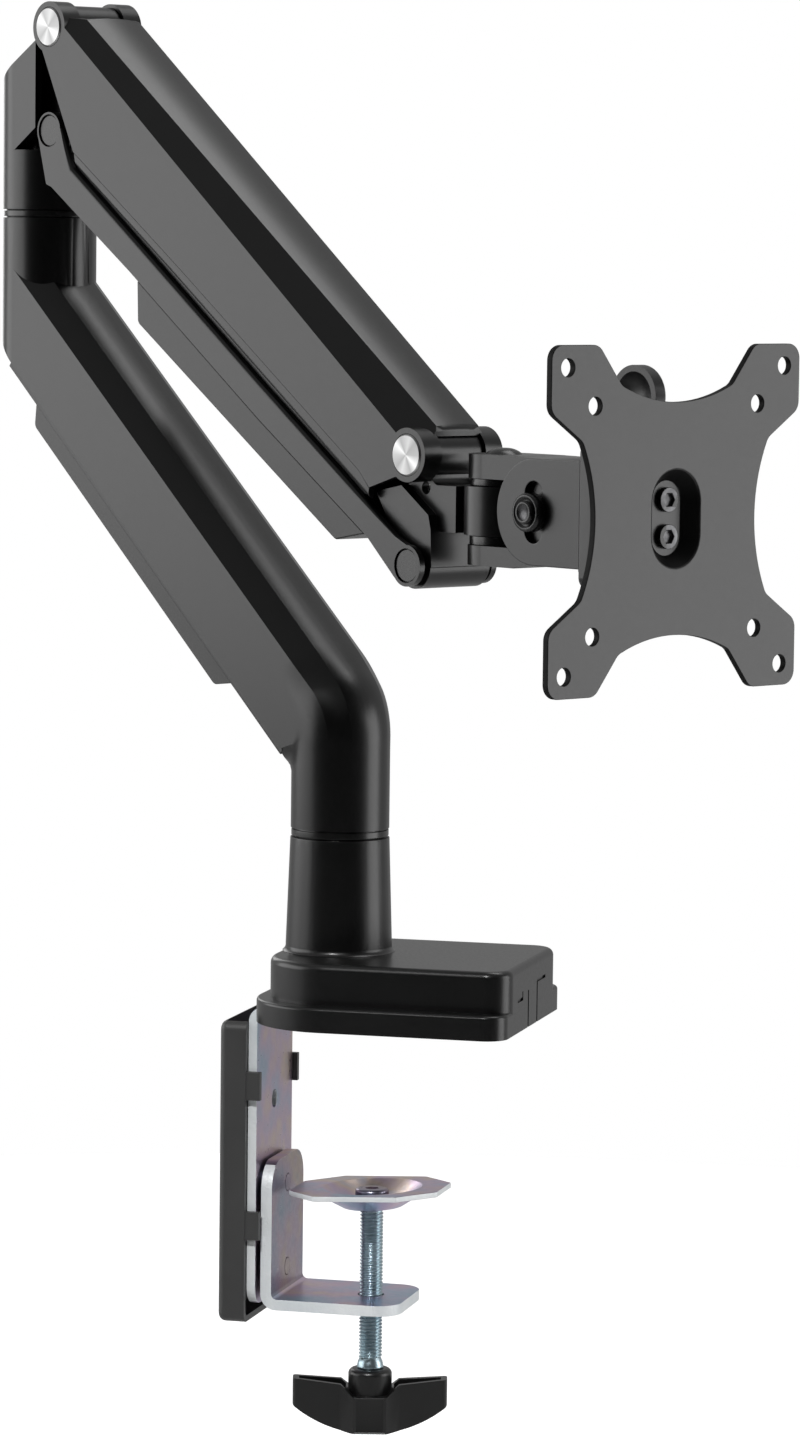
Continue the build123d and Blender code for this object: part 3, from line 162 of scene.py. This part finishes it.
def turned(name, middle):
    """Lathe-turned aluminium with painted reflection: light and dark wedges round the middle of
    the cap stand in for the sheen of its turned grooves.
    """
    t = Tree(name)
    t.shader("Metallic", 1.0)
    t.shader("Roughness", 0.38)
    mapping = t.add("ShaderNodeMapping")
    mapping.inputs["Rotation"].default_value = (math.pi / 2, 0, 0)
    mapping.inputs["Location"].default_value = (-middle[0], middle[2], -middle[1])
    t.link(t.coord.outputs["Object"], mapping.inputs["Vector"])
    angle = t.add("ShaderNodeTexGradient", gradient_type="RADIAL")
    t.link(mapping.outputs["Vector"], angle.inputs["Vector"])
    stops = [(place, (grey,) * 3) for place, grey in PAINTED_SHEEN_WEDGES]
    t.feed(t.ramp(angle.outputs["Fac"], stops), "Base Color")
    return t.mat


def steel(name, low, high, rough):
    """Bare or plated steel with faint cloudy changes of tone and gloss."""
    t = Tree(name)
    t.shader("Metallic", 1.0)
    t.feed(t.blend(t.noise(200, 3), low, high), "Base Color")
    t.feed(t.spread(t.noise(700, 3), rough, 0.05), "Roughness")
    t.bump(t.noise(1800, 2), 0.03, 0.00005)
    return t.mat


def brighter(stops, gain):
    return [(place, tuple(min(1, gain * v) for v in colour)) for place, colour in stops]


ZINC_STOPS = [
    (0.3, (0.17, 0.26, 0.32)), (0.42, (0.25, 0.265, 0.34)), (0.52, (0.32, 0.255, 0.32)),
    (0.62, (0.36, 0.295, 0.26)), (0.72, (0.23, 0.26, 0.35)),
]
# Cut edges: bare steel, made near-white and matt as a painted highlight
EDGE_STOPS_PAINTED_HIGHLIGHT = [
    (0.3, (0.78, 0.83, 0.86)), (0.55, (0.93, 0.96, 0.97)), (0.75, (0.66, 0.72, 0.76)),
]
REAR_PIN = (-0.1467, 0, 0.3518)
FRONT_PIN = (0.0533, 0, 0.2018)

BLACK = coat("black_coat", (0.003, 0.003, 0.0031), (0.005, 0.005, 0.0052), 0.3)
PLASTIC = coat("black_plastic", (0.004,) * 3, (0.006,) * 3, 0.34, 1500, 0.05)
COVER = coat("cover_plastic", (0.04,) * 3, (0.048,) * 3, 0.45, 1500, 0.08)
DARK = coat("dark_steel", (0.005, 0.005, 0.0053), (0.008, 0.008, 0.0083), 0.28, 1900, 0.01)
NYLON = coat("dark_nylon", (0.006,) * 3, (0.01,) * 3, 0.25, 1200, 0.04)
FOAM = coat("foam", (0.02,) * 3, (0.05,) * 3, 0.85, 700, 0.8)
# Painted shade for the plate's cut outline and the walls of its recess
RIM_PAINTED_SHADE = coat("rim_painted_shade", (0.002,) * 3, (0.004,) * 3, 0.6, specular=0.15)
ZINC = zinc("zinc_steel", ZINC_STOPS, 0.33)
# Lighter copies of the same zinc: painted light on the upper bracket and on the upward tops of
# the sheets and pad
PAINTED_LIT_ZINC_UPPER = zinc("zinc_upper_painted_light", brighter(ZINC_STOPS, 1.5), 0.33)
PAINTED_LIT_ZINC_TOP = zinc("zinc_top_painted_light", brighter(ZINC_STOPS, 1.9), 0.36)
# Matt near-white cut edges: bare steel with a painted highlight
ZINC_EDGE_PAINTED_HIGHLIGHT = zinc("zinc_edge_painted_highlight", EDGE_STOPS_PAINTED_HIGHLIGHT, 0.45, 900, 0.6, 0.0004, metallic=0.15)
ZINC_THREAD = steel("zinc_thread", (0.38, 0.5, 0.55), (0.46, 0.57, 0.62), 0.32)
POLISHED = steel("polished_steel", (0.86,) * 3, (0.94,) * 3, 0.14)
BRIGHT = steel("bright_steel", (0.5, 0.5, 0.52), (0.66, 0.66, 0.68), 0.25)
SOCKET = steel("socket_steel", (0.07, 0.07, 0.072), (0.15, 0.15, 0.155), 0.4)
REAR_CAP = turned("cap_aluminium_rear", REAR_PIN)
FRONT_CAP = turned("cap_aluminium_front", FRONT_PIN)
FINISH = {
    "cast_coat": BLACK, "black_coat": BLACK, "black_plastic": PLASTIC, "black_steel": DARK,
    "nylon": NYLON, "foam": FOAM, "zinc_steel": ZINC, "cap_aluminium": REAR_CAP,
    "bright_steel": BRIGHT,
}

for node, obj in nodes.items():
    obj.data.materials.clear()
    obj.data.materials.append(
        FRONT_CAP if node.startswith("front_cap") else FINISH[SLOT[node]]
    )
nodes["knuckle_set_screw"].data.materials[0] = POLISHED


# Ways to make a piece
WELD = 0.00001
FINE_WELD = 0.000002
CUT_SNAP = 0.000001
FLAT_ANGLE = math.radians(0.4)
SHARP_ANGLE = math.radians(28)
BROAD_ROUND, BROAD_STEPS = 1.8, 5
DRESS_CREASE, TURNED_CREASE = 38, 50
RING_STEPS = 36
FACING = 0.5  # share of a normal along a direction from which a face looks that way


def place(name, mesh, body, slot):
    obj = bpy.data.objects.new(name, mesh)
    scene.collection.objects.link(obj)
    mesh.materials.append(FINISH[slot])
    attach(obj, body)
    return obj


def soften(bm, angle):
    """Shades faces smoothly, with a crease where they meet at more than the angle."""
    for face in bm.faces:
        face.smooth = True
    for edge in bm.edges:
        if len(edge.link_faces) == 2:
            edge.smooth = edge.calc_face_angle(0) < math.radians(angle)


def cut(bm, at, normal, **options):
    bmesh.ops.bisect_plane(
        bm, geom=bm.verts[:] + bm.edges[:] + bm.faces[:], dist=CUT_SNAP,
        plane_co=at, plane_no=normal, **options,
    )


def dress(node, edge, segments=2, rim=None, form=None, extra=(), broad=None):
    """Stands for a CAD node with the same faces and its sharp edges rounded over.

    edge is the rounding in millimetres, broad picks edges that get a wider one first,
    form reworks the mesh, and rim picks a face's material out of the node's own and extra.
    """
    bm = bmesh.new()
    bm.from_mesh(nodes[node].data)
    bmesh.ops.remove_doubles(bm, verts=bm.verts, dist=WELD)
    bmesh.ops.dissolve_limit(bm, angle_limit=FLAT_ANGLE, verts=bm.verts, edges=bm.edges)
    bm.normal_update()
    if broad:
        bmesh.ops.bevel(
            bm, geom=[e for e in bm.edges if broad(e)], offset=BROAD_ROUND * MM,
            segments=BROAD_STEPS, profile=0.5, affect="EDGES",
        )
    sharp = [
        e for e in bm.edges if len(e.link_faces) == 2 and e.calc_face_angle(0) > SHARP_ANGLE
    ]
    bmesh.ops.bevel(
        bm, geom=sharp, offset=edge * MM, segments=segments, profile=0.5, affect="EDGES",
        clamp_overlap=True,
    )
    bmesh.ops.remove_doubles(bm, verts=bm.verts, dist=FINE_WELD)
    if form:
        form(bm)
    soften(bm, DRESS_CREASE)
    bm.normal_update()
    if rim:
        for face in bm.faces:
            face.material_index = rim(face.normal, face.calc_center_median())
    mesh = bpy.data.meshes.new("vis_" + node)
    bm.to_mesh(mesh)
    bm.free()
    for old in [a for a in mesh.attributes if a.name in ("custom_normal", "UVMap")]:
        mesh.attributes.remove(old)
    obj = place("vis_" + node, mesh, BODY[node], SLOT[node])
    for material in extra:
        mesh.materials.append(material)
    even = obj.modifiers.new("even", "WEIGHTED_NORMAL")
    even.keep_sharp = True
    even.weight = 80
    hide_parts(node)
    return obj


def rings(name, rows, node, origin, axis, side):
    """Stands for a turned node: rows of (height, radius or radius by angle) round an axis."""
    other = axis.cross(side)
    bm = bmesh.new()
    loops = []
    for height, radius in rows:
        loop = []
        for k in range(RING_STEPS):
            a = 2 * math.pi * k / RING_STEPS
            r = radius(a) if callable(radius) else radius
            point = origin + axis * height + (side * math.cos(a) + other * math.sin(a)) * r
            loop.append(bm.verts.new(point * MM))
        loops.append(loop)
    for lower, upper in zip(loops, loops[1:]):
        for k in range(RING_STEPS):
            j = (k + 1) % RING_STEPS
            bm.faces.new((lower[k], lower[j], upper[j], upper[k]))
    bm.faces.new(loops[0][::-1])
    bm.faces.new(loops[-1])
    soften(bm, TURNED_CREASE)
    mesh = bpy.data.meshes.new(name)
    bm.to_mesh(mesh)
    bm.free()
    obj = place(name, mesh, BODY[node], SLOT[node])
    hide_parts(node)
    return obj


# Pieces that only have their edges rounded, in millimetres
EDGES = {
    "base_housing": 0.7, "post_tube": 0.5, "lower_arm_cover": 0.5, "elbow_yoke": 0.7,
    "link_cable_cover": 0.6, "head_knuckle": 0.7, "pan_fork": 0.7, "tilt_bracket": 0.5,
    "rotation_hub": 0.6, "clamp_rear_cover": 0.5, "tilt_lever": 0.8,
    "pan_washer_upper": 0.4, "pan_washer_lower": 0.4,
    "lower_swivel_ring": 0.15, "elbow_swivel_ring": 0.15,
}
dressed = {node: dress(node, edge) for node, edge in EDGES.items()}
dressed["clamp_rear_cover"].data.materials[0] = COVER


# Clamp: its brackets stand askew below the base, the knob is turned further
CLAMP_YAW = math.radians(33.33)
ALONG = Vector((math.cos(CLAMP_YAW), math.sin(CLAMP_YAW), 0))
ACROSS = Vector((-math.sin(CLAMP_YAW), math.cos(CLAMP_YAW), 0))
SCREW_MID = ALONG * 13.3
KNOB_YAW = math.radians(48.1)
KNOB_FACE = Vector((math.sin(KNOB_YAW), -math.cos(KNOB_YAW), 0))
BLOCK_OUT = 0.009
PANEL_FRAME, PANEL_DEPTH = 0.9, 0.7
FOOT_TIP = 0.02
TOP_FACING, SQUARE_FACING = 0.7, 0.98
PAD_INNER = 0.021
PITCH = 1.25
STEPS = 8  # rows in each turn of the thread
THREAD_FOOT, THREAD_LENGTH = -122.4, 53
THREAD_RADIUS, THREAD_DEPTH = 4.2, 0.62
FLANK_SLOPE, CREST = 1.3, 0.15


def sheared_edges_and_painted_lit_tops(normal, centre):
    """Cut edges of the bent sheets (the long sides and the foot's tip), bare steel with a painted
    highlight, then their tops, painted lighter where light falls on them.
    """
    tip = normal.dot(ALONG) > FACING and centre.dot(ALONG) > FOOT_TIP
    if abs(normal.dot(ACROSS)) > FACING or tip:
        return 1
    return 2 if normal.z > TOP_FACING else 0


def pad_rim_and_painted_lit_top(normal, centre):
    """The cut outline of the pad, bare steel with a painted highlight; all the rest is its top,
    painted bright as a reflection.
    """
    outer = (centre - SCREW_MID * MM).to_2d().length > PAD_INNER
    return 1 if abs(normal.z) < FACING and outer else 2


def knob_form(bm):
    """Sunk panel on both faces of the block in the middle of the knob."""
    for side in (1, -1):
        panel = [
            face for face in bm.faces
            if face.normal.dot(KNOB_FACE) * side > SQUARE_FACING
            and (face.calc_center_median() - SCREW_MID * MM).dot(KNOB_FACE) * side > BLOCK_OUT
        ]
        bmesh.ops.inset_region(
            bm, faces=panel, thickness=PANEL_FRAME * MM, depth=-PANEL_DEPTH * MM,
            use_even_offset=True,
        )


def thread_radius(height):
    def radius(a):
        turn = (height / PITCH - a / (2 * math.pi)) % 1.0
        flank = abs(turn * 2 - 1)
        return THREAD_RADIUS - THREAD_DEPTH * min(1.0, max(0.0, FLANK_SLOPE * flank - CREST))
    return radius


# Bell collar below, thread, then the tip
screw_rows = [
    (-144, 4.0), (-126.4, 4.0), (-126.4, 4.8), (-125.6, 4.75), (-124, 4.4), (-122.6, 3.8),
]
for k in range(int(THREAD_LENGTH / PITCH * STEPS)):
    rise = k * PITCH / STEPS
    screw_rows.append((THREAD_FOOT + rise, thread_radius(rise)))
screw_rows += [(-69.2, 3.9), (-68.2, 3.4)]
screw = rings("vis_clamp_screw", screw_rows, "clamp_screw", SCREW_MID, UP, ALONG)
screw.data.materials[0] = ZINC_THREAD

# Extra sheet finishes: cut edges with a painted highlight, and painted lit tops
SHEET = (ZINC_EDGE_PAINTED_HIGHLIGHT, PAINTED_LIT_ZINC_TOP)
upper_bracket = dress("clamp_bracket_upper", 0.5, rim=sheared_edges_and_painted_lit_tops, extra=SHEET)
# The upper bracket gets the painted lighter copy of the zinc
upper_bracket.data.materials[0] = PAINTED_LIT_ZINC_UPPER
dress("clamp_bracket_lower", 0.6, rim=sheared_edges_and_painted_lit_tops, extra=SHEET)
dress("clamp_pad", 0.4, rim=pad_rim_and_painted_lit_top, extra=SHEET)
dress("clamp_knob", 0.8, form=knob_form)


# Lower arm, in millimetres. Its bar runs down a slope; rho is the height over the middle
# of the bend, which lies beside the tube, and length is counted from where the bar is cut
BAR_FOOT = Vector((-170, 0, 228.2))
BAR_SLOPE = math.radians(40.17)
BAR_ALONG = Vector((math.cos(BAR_SLOPE), 0, -math.sin(BAR_SLOPE)))
BAR_OVER = Vector((-BAR_ALONG.z, 0, BAR_ALONG.x))
BAR_TOP, BAR_TOP_HALF, BAR_BOW = 33.2, 9.4, 0.9
BAR_CUT = 188
BAR_RUN, BAR_ROWS = 14.5, 6
BEND_RUN, BEND_ROWS = 17.4, 16
BEND_END = BAR_RUN + BEND_RUN
BEND_TURN = math.radians(49.83)
BEND_OFF, BEND_Z = 14.5, 98.5
BEND_LIFT = 1.2
TUBE_RUN, TUBE_ROWS = 30.9, 14
TUBE_RADIUS = 17.5
SECTION_STEP = 1.2
ROUND_TOP, ROUND_BAND = 20, 12  # below the top, the section turns round later
ROUND_END, ROUND_LATER = 34, 9
CORNER_REACH, CORNER_HEIGHT, CORNER_FADE = 4.5, 14, 11
BOW_CUTS = (-0.8, -0.55, -0.3, 0, 0.3, 0.55, 0.8)
TOP_SLACK = 0.3


def crown(bm, foot, over, top, half, rise):
    """Bows the flat top of an arm a little, as the casting does."""
    for share in BOW_CUTS:
        cut(bm, (0, share * half * MM, 0), (0, 1, 0))
    for vert in bm.verts:
        height = (vert.co / MM - foot).dot(over)
        share = abs(vert.co.y / MM) / half
        if share < 1 and abs(height - top) < TOP_SLACK:
            vert.co += over * rise * (1 - share * share) * MM


def ease(share):
    return share * share * (3 - 2 * share)


def open_loop(bm):
    """The vertices round the open end of the mesh, in order, at close steps."""
    for edge in [e for e in bm.edges if e.is_boundary]:
        count = int(edge.calc_length() / (SECTION_STEP * MM))
        if count:
            bmesh.ops.subdivide_edges(bm, edges=[edge], cuts=count)
    first = next(e for e in bm.edges if e.is_boundary)
    loop = [first.verts[0]]
    last = None
    while True:
        last = next(e for e in loop[-1].link_edges if e.is_boundary and e != last)
        follow = last.other_vert(loop[-1])
        if follow == loop[0]:
            return loop
        loop.append(follow)


def bend_point(kind, at, length, rho, y):
    """A point of the section on its way from the flat-sided bar into the round tube."""
    late = min(1.0, max(0.0, (ROUND_TOP - rho) / ROUND_BAND))
    begin, end = BEND_END * late, ROUND_END + ROUND_LATER * late
    share = ease(min(1.0, max(0.0, (length - begin) / (end - begin))))
    a = math.atan2(y, rho - BEND_OFF)
    r = rho + (BEND_OFF + TUBE_RADIUS * math.cos(a) - rho) * share
    if kind == "bar":
        point = BAR_FOOT + BAR_ALONG * at + BAR_OVER * (r + BEND_LIFT)
    elif kind == "bend":
        point = Vector((-BEND_OFF + r * math.cos(at), 0, BEND_Z + r * math.sin(at)))
    else:
        point = Vector((-BEND_OFF + r, 0, at))
    low = max(0.0, 1 - (rho + BEND_LIFT) / CORNER_HEIGHT)
    fade = max(0.0, 1 - (length - BEND_END) / CORNER_FADE)
    point += BAR_ALONG * CORNER_REACH * low * ease(min(1.0, length / BAR_RUN, fade))
    point.y = y + (TUBE_RADIUS * math.sin(a) - y) * share
    return point


def lower_arm_form(bm):
    """Bowed top, and one smooth bend from the flat-sided bar into the round tube."""
    cut(bm, (BAR_FOOT + BAR_ALONG * BAR_CUT) * MM, BAR_ALONG, clear_outer=True)
    crown(bm, BAR_FOOT, BAR_OVER, BAR_TOP, BAR_TOP_HALF, BAR_BOW)
    before = open_loop(bm)
    section = [
        ((v.co / MM - BAR_FOOT).dot(BAR_OVER) - BEND_LIFT, v.co.y / MM) for v in before
    ]
    rows = []
    for k in range(1, BAR_ROWS + 1):
        run = k * BAR_RUN / BAR_ROWS
        rows.append(("bar", BAR_CUT + run, run))
    for k in range(1, BEND_ROWS + 1):
        rows.append(("bend", BEND_TURN * (1 - k / BEND_ROWS), BAR_RUN + BEND_RUN * k / BEND_ROWS))
    for k in range(1, TUBE_ROWS + 1):
        run = TUBE_RUN * k / TUBE_ROWS
        rows.append(("tube", BEND_Z - run, BEND_END + run))
    for row in rows:
        now = [bm.verts.new(bend_point(*row, rho, y) * MM) for rho, y in section]
        for k in range(len(now)):
            j = (k + 1) % len(now)
            bm.faces.new((before[k], before[j], now[j], now[k]))
        before = now
    bm.faces.new(before)
    bmesh.ops.recalc_face_normals(bm, faces=bm.faces[:])


dress("lower_arm", 1.0, form=lower_arm_form)


# Upper arm and link: heights are counted over the line through the upper pins
ARM_FOOT = Vector((-146.7, 0, 351.8))
ARM_OVER = Vector((0.6, 0, 0.8))
ARM_TOP, ARM_TOP_HALF, ARM_BOW = 11, 12.4, 1.0
OUTER_SIDE = 17.8
LONG_EDGE = 0.01
GAP_LOW, GAP_TOP = -34, -24.5


def upper_arm_form(bm):
    crown(bm, ARM_FOOT, ARM_OVER, ARM_TOP, ARM_TOP_HALF, ARM_BOW)


def long_outer(edge):
    """The outer edges that face each other across the gap between arm and link."""
    low, high = sorted((v.co / MM - ARM_FOOT).dot(ARM_OVER) for v in edge.verts)
    outer = min(abs(v.co.y / MM) for v in edge.verts) > OUTER_SIDE
    at_gap = low > GAP_LOW and (low + high) / 2 < GAP_TOP
    return outer and at_gap and edge.is_convex and edge.calc_length() > LONG_EDGE


def strip_edge(edge):
    """Of those edges, the ones on the side of the frame's strip that faces the link."""
    faces_link = any(face.normal.dot(ARM_OVER) < -FACING for face in edge.link_faces)
    return faces_link and long_outer(edge)


dress("upper_arm_casting", 0.9, form=upper_arm_form)
dress("upper_arm_frame", 0.2, broad=strip_edge)
dress("lower_link", 0.4, broad=long_outer)


# Head: tilt bolt with a ring lip and a recessed end, its bush, and the monitor plate
TILT = Vector((112.9, 0, 184.8))
BOLT_END, BOLT_SOCKET = -0.01895, 0.0024
PLATE_MID = Vector((0.165, 0, 0.1848))
PLATE_RECESS = 0.02
WALL_LOW, WALL_HIGH = 0.05, 0.8
SCREW_OFF, SCREW_SOCKET = 0.0061, 0.0026

bolt_rows = [
    (-21.6, 4.0), (18.6, 4.0), (19.2, 3.8), (19.4, 3.4), (19.4, 2.7), (19.0, 2.5), (19.0, 0.4),
]
bolt = rings("vis_tilt_bolt", bolt_rows, "tilt_bolt", TILT, NEAR, UP)
bolt.data.materials.append(SOCKET)
for face in bolt.data.polygons:
    inside = (face.center - TILT * MM).xz.length < BOLT_SOCKET
    face.material_index = int(face.center.y < BOLT_END and inside)
bush_rows = [
    (14.5, 4.02), (14.5, 6.6), (17.4, 6.6), (18.2, 6.3), (18.5, 5.7), (18.5, 5.2), (17.6, 4.8),
    (17.6, 4.02),
]
rings("vis_tilt_bush", bush_rows, "tilt_bush", TILT, NEAR, UP)


def socket(normal, centre):
    """The bright inside of the key socket in a plate screw."""
    off = Vector((0, centre.y, abs(centre.z - PLATE_MID.z) - SCREW_OFF)).length
    return int(off < SCREW_SOCKET and normal.x > -FACING)


def plate_rim_painted_shade(normal, centre):
    """The cut outline of the plate and the steep walls of the recess in its middle, painted
    darker as shade.
    """
    outer = (centre - PLATE_MID).length > PLATE_RECESS
    return int(abs(normal.x) < FACING if outer else WALL_LOW < normal.x < WALL_HIGH)


dress("plate_screw_upper", 0.15, 1, rim=socket, extra=(SOCKET,))
dress("plate_screw_lower", 0.15, 1, rim=socket, extra=(SOCKET,))
# The plate's outline and recess walls get the painted shade
dress("vesa_plate", 0.6, rim=plate_rim_painted_shade, extra=(RIM_PAINTED_SHADE,))


# Camera at the photograph's place
AZ, EL, ROLL = math.radians(48.1017), math.radians(5.2266), math.radians(0.67026)
CAMERA_AT = (1.385909, -1.215460, 0.275355)
ahead = Vector((-math.sin(AZ) * math.cos(EL), math.cos(AZ) * math.cos(EL), -math.sin(EL)))
right = Vector((math.cos(AZ), math.sin(AZ), 0))
above = right.cross(ahead)
turned_right = right * math.cos(ROLL) + above * math.sin(ROLL)
turned_up = above * math.cos(ROLL) - right * math.sin(ROLL)
camera = bpy.data.objects.new("camera", bpy.data.cameras.new("camera"))
scene.collection.objects.link(camera)
camera.data.lens = 131.137
camera.data.sensor_width = 36
camera.data.clip_end = 50
camera.matrix_world = Matrix((
    (turned_right.x, turned_up.x, -ahead.x, CAMERA_AT[0]),
    (turned_right.y, turned_up.y, -ahead.y, CAMERA_AT[1]),
    (turned_right.z, turned_up.z, -ahead.z, CAMERA_AT[2]),
    (0, 0, 0, 1),
))
scene.camera = camera


# Lamps: name, place, aim, size in metres, watts
FRONT_AT = (1.0, -1.5, 1.7)
BOXES = [
    ("left_box", (-1.56, -1.41, 0.6), (-0.05, 0, 0.15), (2.4, 1.5), 26),
    ("back_box", (0, 0.88, 2.15), (0, 0, 0.15), (1.4, 0.75), 11),
    ("front_box", FRONT_AT, (0, 0, -0.05), (2.4, 1.4), 2),
    ("edge_box", (-0.95, 0.3, 0.42), (-0.17, 0, 0.3), (0.25, 0.5), 0.9),
    ("right_box", (1.5, 1.35, 0.1), (0, 0, 0.15), (1.2, 1.8), 19),
]


def hang(name, kind, at, aim, power):
    lamp = bpy.data.lights.new(name, kind)
    lamp.energy = power
    obj = bpy.data.objects.new(name, lamp)
    scene.collection.objects.link(obj)
    obj.location = at
    obj.rotation_euler = (Vector(aim) - Vector(at)).to_track_quat("-Z", "Y").to_euler()
    return lamp


for name, at, aim, size, power in BOXES:
    box = hang(name, "AREA", at, aim, power)
    box.shape = "RECTANGLE"
    box.size, box.size_y = size
spot = hang("clamp_spot", "SPOT", FRONT_AT, (0, 0, -0.1), 140)
spot.shadow_soft_size = 0.05
spot.spot_size = math.radians(5.2)
spot.spot_blend = 0.4


# World: a pale studio behind and to the left, dark on the camera's side, white to the camera
PALE_SIDE = (-0.741, 0.665, 0.1)
FADE_FROM, FADE_TO = -0.75, 0.25
DARK_LEVEL, PALE_LEVEL = 0.01, 0.42
world = bpy.data.worlds.new("studio")
scene.world = world
world.use_nodes = True
tree = world.node_tree
tree.nodes.clear()
wire = tree.links.new


def join(kind, a, b):
    node = tree.nodes.new("ShaderNodeMath")
    node.operation = kind
    wire(a, node.inputs[0])
    wire(b, node.inputs[1])
    return node.outputs["Value"]


coord = tree.nodes.new("ShaderNodeTexCoord")
path = tree.nodes.new("ShaderNodeLightPath")
dot = tree.nodes.new("ShaderNodeVectorMath")
dot.operation = "DOT_PRODUCT"
dot.inputs[1].default_value = PALE_SIDE
wire(coord.outputs["Generated"], dot.inputs[0])
fade = tree.nodes.new("ShaderNodeMapRange")
fade.inputs["From Min"].default_value = FADE_FROM
fade.inputs["From Max"].default_value = FADE_TO
fade.inputs["To Min"].default_value = DARK_LEVEL
fade.inputs["To Max"].default_value = PALE_LEVEL
wire(dot.outputs["Value"], fade.inputs["Value"])
level = fade.outputs["Result"]
studio = tree.nodes.new("ShaderNodeBackground")
wire(level, studio.inputs["Strength"])
white = tree.nodes.new("ShaderNodeBackground")
white.inputs["Color"].default_value = (1, 1, 1, 1)
wire(join("MAXIMUM", path.outputs["Is Camera Ray"], level), white.inputs["Strength"])
seen = join("MAXIMUM", path.outputs["Is Camera Ray"], path.outputs["Is Glossy Ray"])
seen = join("MAXIMUM", seen, path.outputs["Is Transmission Ray"])
mix = tree.nodes.new("ShaderNodeMixShader")
wire(seen, mix.inputs["Fac"])
wire(studio.outputs["Background"], mix.inputs[1])
wire(white.outputs["Background"], mix.inputs[2])
out = tree.nodes.new("ShaderNodeOutputWorld")
wire(mix.outputs["Shader"], out.inputs["Surface"])


# Pale floor below the hanging clamp
FLOOR_RADIUS, FLOOR_DROP = 0.9, 0.06
bm = bmesh.new()
bmesh.ops.create_circle(bm, cap_ends=True, segments=96, radius=FLOOR_RADIUS)
floor_mesh = bpy.data.meshes.new("floor")
bm.to_mesh(floor_mesh)
bm.free()
floor = bpy.data.objects.new("floor", floor_mesh)
scene.collection.objects.link(floor)
floor.location.z = cad_low.z - FLOOR_DROP
t = Tree("floor")
t.feed(t.blend(t.noise(3, 2), (0.86,) * 3, (0.9,) * 3), "Base Color")
t.shader("Roughness", 0.9)
glow = t.add("ShaderNodeEmission")
glow.inputs["Color"].default_value = (0.6, 0.6, 0.6, 1)
rays = t.add("ShaderNodeLightPath")
t.link(rays.outputs["Is Camera Ray"], glow.inputs["Strength"])
both = t.add("ShaderNodeAddShader")
t.link(t.bsdf.outputs["BSDF"], both.inputs[0])
t.link(glow.outputs["Emission"], both.inputs[1])
t.link(both.outputs["Shader"], t.tree.nodes["Material Output"].inputs["Surface"])
floor_mesh.materials.append(t.mat)
